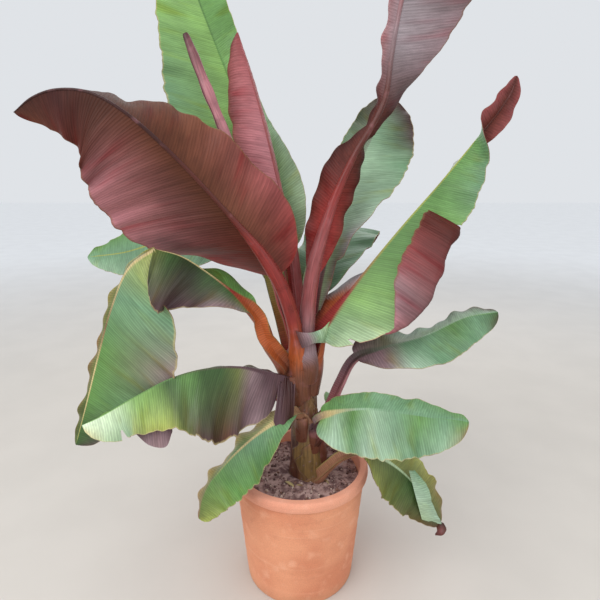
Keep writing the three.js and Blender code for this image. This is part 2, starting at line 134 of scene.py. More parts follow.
def tints(names: str) -> tuple[Tint, ...]:
    """Reads tints from their names."""
    return tuple(Tint[name] for name in names.split())


def pairs(names: str) -> tuple[TintPair, ...]:
    """Reads pairs of tints, such as "PLUM/WINE", where one name alone stands for both."""
    split = [pair.split("/") for pair in names.split()]
    return tuple((Tint[pair[0]], Tint[pair[-1]]) for pair in split)


def at_steps(values: Steps, share: np.ndarray) -> np.ndarray:
    """Reads values that stand at even steps from 0 to 1.

    Args:
        values: The values at the steps.
        share: Where to read them.

    Returns:
        The values there.
    """
    return np.interp(share, np.linspace(0.0, 1.0, len(values)), values)


def tints_at(steps: tuple[Tint, ...], share: np.ndarray) -> np.ndarray:
    """Reads tints that stand at even steps from 0 to 1.

    Args:
        steps: The tints at the steps.
        share: Where to read them.

    Returns:
        Light values with a last axis of three.
    """
    return np.stack([at_steps(parts, share) for parts in zip(*(tint.light() for tint in steps))], axis=-1)


def blend(first: np.ndarray, second: np.ndarray | Tint, share: np.ndarray) -> np.ndarray:
    """Mixes two fields of colours.

    Args:
        first: Light values with a last axis of three.
        second: The same, or one tint.
        share: How much of the second shows, without that axis.

    Returns:
        The mixed light values.
    """
    second = np.array(second.light()) if isinstance(second, Tint) else second
    return first + (second - first) * share[..., None]


def eased(share: np.ndarray) -> np.ndarray:
    """Gives a smooth rise from 0 to 1 between the shares 0 and 1."""
    inside = np.clip(share, 0.0, 1.0)
    return inside * inside * (3.0 - 2.0 * inside)


def unit(vectors: np.ndarray) -> np.ndarray:
    """Gives the same directions with a length of one."""
    return vectors / np.linalg.norm(vectors, axis=-1, keepdims=True)


def waves(run: np.ndarray, lengths: Steps, seed: int) -> np.ndarray:
    """Adds up sine waves of given lengths with seeded starts.

    Args:
        run: Distances in millimetres.
        lengths: The wave lengths in millimetres.
        seed: Seed of the starts.

    Returns:
        Values from about -1 to 1.
    """
    chance = random.Random(seed)
    total = np.zeros_like(run, dtype=float)
    for length in lengths:
        total += np.sin(TURN * (run / length + chance.random()))
    return total / math.sqrt(len(lengths))


# Mesh helpers


def choose(piece: Piece | None) -> None:
    """Selects one piece alone and makes it the active one, or selects nothing."""
    bpy.ops.object.select_all(action="DESELECT")
    if piece:
        piece.select_set(True)
        bpy.context.view_layer.objects.active = piece


def over(points: np.ndarray, values: np.ndarray) -> np.ndarray:
    """Repeats values over the rows and columns of points."""
    return np.broadcast_to(values, points.shape[:2] + values.shape[2:])


def store(piece: Piece, name: str, values: np.ndarray) -> None:
    """Stores a number or a colour for each point of a piece, for its materials to read."""
    count = len(piece.data.vertices)
    if values.size == count:
        layer = piece.data.attributes.new(name, "FLOAT", "POINT")
        layer.data.foreach_set("value", values.astype(np.float32).ravel())
        return
    colours = np.ones((count, 4), np.float32)
    colours[:, :3] = values.reshape(count, 3)
    piece.data.attributes.new(name, "FLOAT_COLOR", "POINT").data.foreach_set("color", colours.ravel())


def start_grid(name: str, points: np.ndarray, layers: Layers, *finishes: "Finish") -> Piece:
    """Adds a grid, lays it over rows and columns of points and dresses it.

    Args:
        name: Name of the new piece.
        points: Rows by columns by three, in millimetres.
        layers: Numbers and colours to store, by name, each over rows and columns.
        finishes: Its finishes, by material index.

    Returns:
        The piece, whose faces look along column step crossed with row step.
    """
    rows, columns = points.shape[:2]
    choose(None)
    bpy.ops.mesh.primitive_grid_add(x_subdivisions=columns - 1, y_subdivisions=rows - 1, size=1.0)
    piece = bpy.context.active_object
    piece.name = piece.data.name = name
    piece.data.vertices.foreach_set("co", (points * MM).astype(np.float32).ravel())
    piece.data.update()
    for key, values in layers.items():
        store(piece, key, over(points, values))
    for finish in finishes:
        piece.data.materials.append(material_of(finish))
    return piece


def drop_faces(piece: Piece, columns: int, gone: np.ndarray) -> None:
    """Takes faces out of a grid, with the points and edges that no face uses then.

    Args:
        piece: A grid that is still whole.
        columns: Its count of points in a row.
        gone: Rows by columns of faces, true where a face goes.
    """
    choose(piece)
    bpy.ops.object.mode_set(mode="EDIT")
    bpy.ops.mesh.select_mode(type="FACE")
    bpy.ops.object.mode_set(mode="OBJECT")
    corners = np.zeros(len(piece.data.loops), np.int32)
    piece.data.loops.foreach_get("vertex_index", corners)
    first = corners.reshape(-1, 4).min(axis=1)
    piece.data.polygons.foreach_set("select", gone[first // columns, first % columns])
    bpy.ops.object.mode_set(mode="EDIT")
    bpy.ops.mesh.delete(type="FACE")
    bpy.ops.mesh.select_all(action="SELECT")
    bpy.ops.mesh.delete_loose(use_verts=True, use_edges=True, use_faces=False)
    bpy.ops.object.mode_set(mode="OBJECT")


def make_shell(piece: Piece, thickness: float) -> None:
    """Gives an open sheet its thickness below its upper face.

    Args:
        piece: The sheet, with three materials for its upper face, underside and margin.
        thickness: The thickness in millimetres.
    """
    choose(piece)
    shell = piece.modifiers.new("thickness", "SOLIDIFY")
    shell.thickness = thickness * MM
    shell.offset = -1.0
    shell.use_rim = True
    shell.material_offset = 1
    shell.material_offset_rim = 2
    bpy.ops.object.modifier_apply(modifier=shell.name)


def make_body(name: str, points: np.ndarray, layers: Layers, finish: "Finish") -> Piece:
    """Closes rings of points into a body with a pole at each end and all faces outward.

    Args:
        name: Name of the piece.
        points: Rings by points by three, each ring ending on its first point.
        layers: Numbers and colours to store, each over rings and points.
        finish: Its finish.

    Returns:
        The closed body.
    """
    layers = {key: over(points, values) for key, values in layers.items()}
    layers = {key: np.concatenate([rows[:1], rows, rows[-1:]]) for key, rows in layers.items()}
    low, high = (np.repeat(ring.mean(axis=1, keepdims=True), points.shape[1], axis=1)
                 for ring in (points[:1], points[-1:]))
    piece = start_grid(name, np.concatenate([low, points, high]), layers, finish)
    choose(piece)
    bpy.ops.object.mode_set(mode="EDIT")
    bpy.ops.mesh.select_all(action="SELECT")
    bpy.ops.mesh.remove_doubles(threshold=MERGE_DISTANCE * MM)
    bpy.ops.mesh.normals_make_consistent(inside=False)
    bpy.ops.object.mode_set(mode="OBJECT")
    return piece


def smoothed(piece: Piece, degrees: float = 50.0) -> Piece:
    """Shades a piece smooth, with sharp edges where faces meet at more than an angle."""
    choose(piece)
    bpy.ops.object.shade_smooth_by_angle(angle=math.radians(degrees))
    return piece


def seat(piece: Piece, nodes: tuple[str, ...]) -> None:
    """Fixes a finished piece to the body and lets it stand for solids of the frame.

    Args:
        piece: The piece, with its place in its mesh.
        nodes: The solids that it replaces.
    """
    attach(piece, BODY)
    if nodes:
        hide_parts(*nodes)
    LOG.info("%s: %d faces", piece.name, len(piece.data.polygons))


# Finishes


class Shading:
    """Builds the nodes of one material, whose colour grows step by step."""

    def __init__(self, name: str, roughness: float, gloss: float, start: str | Place) -> None:
        """Starts a material.

        Args:
            name: Name of the material.
            roughness: Roughness of the surface where no pattern sets it.
            gloss: Strength of the plain gloss.
            start: Name of the stored colour that it starts from, or one colour as display values.
        """
        self.material = bpy.data.materials.new(name)
        self.material.use_nodes = True
        self.tree = self.material.node_tree
        self.tree.nodes.clear()
        self.main = self.node("BsdfPrincipled", {"Roughness": roughness, "Specular IOR Level": gloss})
        self.node("OutputMaterial", {"Surface": self.main.outputs["BSDF"]})
        self.skin = self.stored(start, "Color") if isinstance(start, str) else (*as_light(start), 1.0)

    def node(self, kind: str, feeds: dict[str | int, object], **settings: object) -> bpy.types.Node:
        """Adds a node.

        Args:
            kind: Its type, without the word that all types begin with.
            feeds: Sockets or constants for its inputs.
            settings: Its own settings.

        Returns:
            The node.
        """
        node = self.tree.nodes.new("ShaderNode" + kind)
        for key, value in settings.items():
            setattr(node, key, value)
        for key, value in feeds.items():
            if isinstance(value, Socket):
                self.tree.links.new(value, node.inputs[key])
            else:
                node.inputs[key].default_value = value
        return node

    def stored(self, name: str, kind: str = "Fac") -> Socket:
        """Reads a number or a colour that the piece stores for each point."""
        return self.node("Attribute", {}, attribute_name=name).outputs[kind]

    def place(self, stretch: Place = (1.0, 1.0, 1.0)) -> Socket:
        """Gives the place on the object, stretched along its axes."""
        place = self.node("TexCoord", {}).outputs["Object"]
        return self.node("Mapping", {"Vector": place, "Scale": stretch}).outputs["Vector"]

    def math(self, kind: str, *values: float | Socket) -> Socket:
        """Reckons with numbers or sockets."""
        return self.node("Math", dict(enumerate(values)), operation=kind).outputs["Value"]

    def noise(self, vector: Socket, scale: float, detail: float = 3.0) -> Socket:
        """Gives cloudy noise from 0 to 1, of a fineness and with a count of finer layers."""
        return self.node("TexNoise", {"Vector": vector, "Scale": scale, "Detail": detail}).outputs["Fac"]

    def streaks(self, across: Socket, along: Socket, squeeze: float, scale: float, detail: float) -> Socket:
        """Gives noise that is drawn out into streaks.

        Args:
            across: Measure across the streaks.
            along: Measure along them.
            squeeze: How much slower the noise changes along them.
            scale: How fine it is.
            detail: How many finer layers it has.

        Returns:
            The socket with the noise.
        """
        vector = self.node("CombineXYZ", {"X": across, "Y": self.math("MULTIPLY", along, squeeze)})
        return self.noise(vector.outputs["Vector"], scale, detail)

    def spread(self, value: Socket, low: float, high: float, start: float = 0.0, end: float = 1.0) -> Socket:
        """Maps a number from one range to another and keeps it inside.

        Args:
            value: The number.
            low: Where the first range starts.
            high: Where the first range ends.
            start: Result at low.
            end: Result at high.

        Returns:
            The socket with the result.
        """
        feeds = {"Value": value, "From Min": low, "From Max": high, "To Min": start, "To Max": end}
        return self.node("MapRange", feeds, interpolation_type="SMOOTHSTEP").outputs["Result"]

    def tone(self, share: Socket, tint: Tint | Place, kind: str = "MIX") -> None:
        """Mixes a tint into the colour.

        Args:
            share: How much of the tint shows.
            tint: The tint, or display values.
            kind: How it is mixed.
        """
        light = as_light(tint.value if isinstance(tint, Tint) else tint)
        feeds = {"Factor": share, 6: self.skin, 7: (*light, 1.0)}
        self.skin = self.node("Mix", feeds, data_type="RGBA", blend_type=kind).outputs[2]

    def stain(self, value: Socket, low: float, high: float, most: float, tint: Tint | Place) -> None:
        """Mixes a tint into the colour where a pattern is strong.

        Args:
            value: The pattern.
            low: Where the tint starts to show.
            high: Where it shows most.
            most: How much of it shows there.
            tint: The tint, or display values.
        """
        self.tone(self.spread(value, low, high, 0.0, most), tint)

    def vary(self, value: Socket, least: float, most: float, low: float = 0.3, high: float = 0.7) -> None:
        """Makes the colour darker and lighter by a pattern.

        Args:
            value: The pattern.
            least: Factor where the pattern is low.
            most: Factor where it is high.
            low: Value of the pattern that counts as low.
            high: Value that counts as high.
        """
        feeds = {0: self.skin, "Scale": self.spread(value, low, high, least, most)}
        self.skin = self.node("VectorMath", feeds, operation="SCALE").outputs["Vector"]

    def finish(self, rough: Socket | None = None, relief: Socket | None = None,
               depth: float = 0.5) -> bpy.types.Material:
        """Ends the material with its colour, roughness and relief.

        Args:
            rough: The roughness, where a pattern sets it.
            relief: The relief from 0 to 1.
            depth: Height of the relief in millimetres.

        Returns:
            The finished material.
        """
        sources = {"Base Color": self.skin, "Roughness": rough, "Normal": None}
        if relief is not None:
            bump = {"Strength": 1.0, "Distance": depth * MM, "Height": relief}
            sources["Normal"] = self.node("Bump", bump).outputs["Normal"]
        for key, source in sources.items():
            if source is not None:
                self.tree.links.new(source, self.main.inputs[key])
        return self.material


class Finish:
    """Looks of a surface, the base of all finishes."""

    def make(self) -> bpy.types.Material:
        """Builds the material."""
        raise NotImplementedError


@cache
def material_of(finish: Finish) -> bpy.types.Material:
    """Gives the material of a finish, built once and shared by its pieces."""
    return finish.make()


@dataclass(frozen=True)
class BladeFinish(Finish):
    """One face of a leaf blade, with side veins that run out from the rib.

    Attributes:
        name: Name of the material.
        tint: Name of the stored colour.
        vein_spacing: Distance between fine veins, in millimetres.
        vein_light: How much lighter the veins are.
        stripe_and_shade: How strongly broad stripes along the veins vary the colour, partly as the
        blade's own tone and partly as painted light and shade of its undulation.
        painted_sheen: How strongly painted sheen, light bands along the veins, shows towards the
        margin.
        roughness: Lowest and highest roughness.
        relief: Height of the veins in millimetres.
        gloss: Strength of the plain gloss.
        painted_sheen_tint: Colour of the painted sheen.
        rim: Colour of the dry margin.
    """

    name: str
    tint: str
    vein_spacing: float
    vein_light: float
    stripe_and_shade: float
    painted_sheen: float
    roughness: tuple[float, float]
    relief: float
    gloss: float
    painted_sheen_tint: Tint
    rim: Tint

    def make(self) -> bpy.types.Material:
        """Builds the material."""
        shade = Shading(self.name, self.roughness[0], self.gloss, self.tint)
        vein, out = shade.stored("vein"), shade.stored("out")
        cloud = shade.noise(shade.place(), 9.0, 4.0)
        along = shade.streaks(vein, out, 0.02, 95.0, 4.0)
        fine = shade.streaks(vein, out, 0.01, 420.0, 2.0)
        broad = shade.streaks(vein, out, 0.03, 24.0, 2.0)
        turns = shade.math("MULTIPLY", vein, TURN / (self.vein_spacing * MM))
        wave = shade.math("SINE", shade.math("MULTIPLY_ADD", along, 5.0, turns))
        ridge = shade.math("MULTIPLY_ADD", wave, 0.5, 0.5)
        # Broad stripes along the veins: partly the blade's own tone, partly painted light and shade of its
        # undulation.
        shade.vary(along, 1.0 - self.stripe_and_shade, 1.0 + self.stripe_and_shade)
        shade.vary(fine, 0.93, 1.07, 0.35, 0.65)
        shade.vary(ridge, 1.0, 1.0 + self.vein_light, 0.55, 1.0)
        shade.vary(cloud, 0.86, 1.12)
        # Painted sheen: light bands along the veins that grow stronger towards the margin.
        painted_sheen = shade.math("MULTIPLY", shade.spread(broad, 0.5, 0.72), shade.spread(out, 0.1, 0.6, 0.2, 1.0))
        shade.tone(shade.math("MULTIPLY", painted_sheen, self.painted_sheen), self.painted_sheen_tint, "SOFT_LIGHT")
        edge = shade.math("MULTIPLY_ADD", along, 0.06, out)
        shade.stain(edge, 0.995, 1.025, 0.6, self.rim)
        rough = shade.spread(cloud, 0.3, 0.7, *self.roughness)
        return shade.finish(rough, shade.math("MULTIPLY_ADD", ridge, 0.45, along), self.relief)


@dataclass(frozen=True)
class MarginFinish(Finish):
    """The cut edge of a blade, dry and brown."""

    name: str = "blade_margin"

    def make(self) -> bpy.types.Material:
        """Builds the material."""
        shade = Shading(self.name, 0.7, 0.5, "under_tint")
        shade.tone(shade.spread(shade.noise(shade.place(), 60.0), 0.35, 0.7, 0.1, 0.6), Tint.DRY)
        return shade.finish()


@dataclass(frozen=True)
class StalkFinish(Finish):
    """Stalks and ribs, smooth and streaked lengthwise."""

    name: str = "stalk_skin"

    def make(self) -> bpy.types.Material:
        """Builds the material."""
        shade = Shading(self.name, 0.36, 0.3, "under_tint")
        streak = shade.streaks(shade.stored("out"), shade.stored("vein"), 0.6, 26.0, 4.0)
        cloud = shade.noise(shade.place(), 22.0, 4.0)
        shade.vary(streak, 0.78, 1.25)
        shade.stain(cloud, 0.55, 0.75, 0.35, Tint.PINK)
        shade.stain(cloud, 0.5, 0.25, 0.3, Tint.CLARET)
        return shade.finish(shade.spread(cloud, 0.3, 0.7, 0.26, 0.42), streak, 0.5)


@dataclass(frozen=True)
class SheathFinish(Finish):
    """The trunk's wrapped sheaths: fibrous, patchy, with dry edges."""

    name: str = "sheath_skin"

    def make(self) -> bpy.types.Material:
        """Builds the material."""
        shade = Shading(self.name, 0.5, 0.5, "tint")
        fibre = shade.noise(shade.place((1.0, 1.0, 0.07)), 150.0, 4.0)
        patch = shade.noise(shade.place((1.0, 1.0, 0.45)), 20.0, 5.0)
        speck = shade.noise(shade.place(), 75.0, 4.0)
        shade.vary(fibre, 0.62, 1.4)
        shade.stain(patch, 0.5, 0.66, 0.7, Tint.KHAKI)
        shade.stain(patch, 0.44, 0.3, 0.65, Tint.UMBER)
        shade.stain(speck, 0.6, 0.74, 0.55, Tint.MAUVE)
        shade.stain(shade.stored("edge"), 0.25, 0.9, 0.75, Tint.DRY)
        # Painted shade: darker in the crease just beside each sheath edge.
        shade.stain(shade.stored("crease_shade"), 0.1, 0.9, 0.85, Tint.UMBER)
        relief = shade.math("MULTIPLY_ADD", fibre, 0.7, shade.math("MULTIPLY", speck, 0.6))
        return shade.finish(shade.spread(speck, 0.3, 0.7, 0.38, 0.62), relief, 1.4)


@dataclass(frozen=True)
class TerracottaFinish(Finish):
    """Plain fired clay, matt, with faint rings, pale bloom and darker patches.

    Attributes:
        name: Name of the material.
        rim: Height in millimetres above which the clay is pinker.
    """

    name: str = "terracotta_clay"
    rim: float = 366.0

    def make(self) -> bpy.types.Material:
        """Builds the material."""
        shade = Shading(self.name, 0.78, 0.3, (234, 162, 125))
        place = shade.place()
        patch, grain = shade.noise(place, 22.0, 5.0), shade.noise(place, 420.0, 2.0)
        rings = shade.noise(shade.place((0.25, 0.25, 9.0)), 12.0, 4.0)
        shade.stain(shade.noise(place, 5.0), 0.35, 0.7, 1.0, (216, 138, 104))
        shade.stain(patch, 0.52, 0.75, 0.45, (244, 186, 156))
        shade.stain(rings, 0.56, 0.72, 0.2, (246, 190, 160))
        shade.stain(patch, 0.42, 0.25, 0.25, (196, 120, 88))
        height = shade.node("SeparateXYZ", {0: place}).outputs["Z"]
        shade.stain(height, (self.rim - 3.0) * MM, (self.rim + 3.0) * MM, 0.45, (246, 178, 154))
        foot = shade.spread(height, 0.06, 0.0, 0.0, 0.5)
        shade.tone(shade.math("MULTIPLY", foot, patch), (176, 140, 112))
        shade.vary(grain, 0.93, 1.07)
        relief = shade.math("MULTIPLY_ADD", grain, 0.3, rings)
        return shade.finish(shade.spread(patch, 0.3, 0.7, 0.68, 0.88), relief, 0.7)


@dataclass(frozen=True)
class SoilFinish(Finish):
    """Damp dark potting soil with a few pale specks."""

    name: str = "potting_soil"

    def make(self) -> bpy.types.Material:
        """Builds the material."""
        shade = Shading(self.name, 0.9, 0.25, (112, 84, 82))
        place = shade.place()
        lump, crumb = shade.noise(place, 45.0, 5.0), shade.noise(place, 190.0, 4.0)
        shade.stain(lump, 0.35, 0.65, 1.0, (190, 160, 152))
        shade.stain(crumb, 0.64, 0.72, 0.7, (196, 174, 160))
        return shade.finish(None, shade.math("MULTIPLY_ADD", crumb, 0.7, lump), 3.0)


@dataclass(frozen=True)
class CrumbFinish(Finish):
    """Loose crumbs of soil, each with its own colour."""

    name: str = "soil_crumb"

    def make(self) -> bpy.types.Material:
        """Builds the material."""
        shade = Shading(self.name, 0.9, 0.25, "tint")
        shade.vary(shade.noise(shade.place(), 260.0), 0.75, 1.25)
        return shade.finish()


@dataclass(frozen=True)
class FloorFinish(Finish):
    """Pale paper with a faint mottle, which grows lighter far from the plant.

    Attributes:
        name: Name of the material.
        near: Colour under the plant, as display values.
        far: Colour in the distance.
        ends: Where it starts and ends to grow lighter, in metres.
    """

    name: str = "floor_paper"
    near: Place = (206, 200, 192)
    far: Place = (250, 251, 252)
    ends: tuple[float, float] = (1.5, 9.0)

    def make(self) -> bpy.types.Material:
        """Builds the material."""
        shade = Shading(self.name, 0.9, 0.3, self.near)
        place = shade.place()
        reach = shade.node("VectorMath", {0: place}, operation="LENGTH").outputs["Value"]
        shade.stain(reach, *self.ends, 1.0, self.far)
        shade.vary(shade.noise(place, 3.0, 4.0), 0.98, 1.02)
        return shade.finish()


# The last but one tint of each finish colours its painted sheen, and the last its dry margin.
UPPER_FINISH = BladeFinish("blade_upper", "upper_tint", 7.0, 0.26, 0.1, 0.75, (0.36, 0.48), 0.8, 0.3,
                           Tint.STRAW, Tint.STRAW)
UNDER_FINISH = BladeFinish("blade_under", "under_tint", 8.0, 0.14, 0.12, 0.9, (0.42, 0.56), 0.9, 0.16,
                           Tint.PINK, Tint.DRY)
BLADE_FINISHES = (UPPER_FINISH, UNDER_FINISH, MarginFinish())


# Leaf plans, by the rule of the solids


@dataclass(frozen=True)
class Half:
    """One half of a blade, seen along the midrib with the upper face up.

    Attributes:
        width: Full width.
        fold: Turn up from flat at the rib in degrees, at even steps along the blade.
        curl: Further turn to the margin in degrees, at even steps.
        trim: Share of the width that is there, at even steps.
    """

    width: float
    fold: Steps
    curl: Steps
    trim: Steps = (1.0, 1.0)


@dataclass(frozen=True)
class LeafPlan:
    """The shape of one leaf.

    Attributes:
        name: Name of the solid that it stands for.
        slot: Material slot of the record, not used here.
        midrib: Places from the foot on the trunk to the tip.
        stalk: Share of that length that is bare stalk.
        upper: Where the upper face looks, at even steps from foot to tip.
        left: The left half of the blade.
        right: The right half of the blade.
        fullest: Where along the blade it is widest.
        blunt: Under 1 for a blunter outline.
        rib: Half width of the stalk at its foot.
        taper: Half width at the tip as a share of rib.
    """

    name: str
    slot: str
    midrib: tuple[Place, ...]
    stalk: float
    upper: tuple[Place, ...]
    left: Half
    right: Half
    fullest: float
    blunt: float
    rib: float
    taper: float = 0.22


@dataclass(frozen=True)
class Tear:
    """A tear that runs in from a margin along the side veins.

    Attributes:
        left: Whether it is in the left half.
        at: Where its foot is, as a share of the blade.
        depth: How far it reaches in, as a share of the half's width.
        gap: How far it stands open at the margin.
        drop: How far the part beyond it hangs down at the margin.
    """

    left: bool
    at: float
    depth: float
    gap: float
    drop: float


@dataclass(frozen=True)
class Flap:
    """An outer strip of a half that is rolled over onto the blade.

    Attributes:
        left: Whether it is on the left half.
        start: Where it starts, as a share of the blade.
        end: Where it ends.
        width: Its usual width.
        shape: Share of that width at even steps from start to end.
        turn: How far it turns over, in degrees.
        bend: Radius of the fold.
    """

    left: bool
    start: float
    end: float
    width: float
    shape: Steps
    turn: float = 168.0
    bend: float = 12.0


@dataclass(frozen=True)
class LeafDress:
    """How one leaf looks: its tints from rib to margin at even steps, and its wear.

    Attributes:
        upper_left: Upper face of the left half.
        upper_right: Upper face of the right half.
        under_left: Underside of the left half.
        under_right: Underside of the right half.
        channel: Upper side of stalk and rib, at even steps from foot to tip.
        stalk: Underside of stalk and rib, at even steps.
        ruffle: How far the margin waves.
        ragged: How far the margin is worn in, as a share of the width.
        tears: Tears in the blade.
        flaps: Strips that are rolled over, one to a half at most.
        stout: How much stouter the stalk is than in the plan.
        reach_left: Width of the left half as a share of the plan's, at even steps along the blade.
        reach_right: The same for the right half.
        skirt: How far the blade runs on down the stalk on each side.
        slim: Width factor of the rib along the blade.
        tip: Places that the midrib runs on through past its tip.
    """

    upper_left: tuple[TintPair, ...] = pairs("GREEN GREEN/APPLE GREEN")
    upper_right: tuple[TintPair, ...] = pairs("GREEN GREEN/APPLE GREEN")
    under_left: tuple[TintPair, ...] = pairs("WINE WINE/RUST WINE")
    under_right: tuple[TintPair, ...] = pairs("WINE WINE/RUST WINE")
    channel: tuple[Tint, ...] = tints("RED LIME LIME LIME")
    stalk: tuple[Tint, ...] = tints("ORANGE RED RED WINE WINE")
    ruffle: float = 7.0
    ragged: float = 0.02
    tears: tuple[Tear, ...] = ()
    flaps: tuple[Flap, ...] = ()
    stout: float = 1.0
    reach_left: Steps = (1.0, 1.0)
    reach_right: Steps = (1.0, 1.0)
    skirt: float = 0.0
    slim: float = 0.62
    tip: tuple[Place, ...] = ()


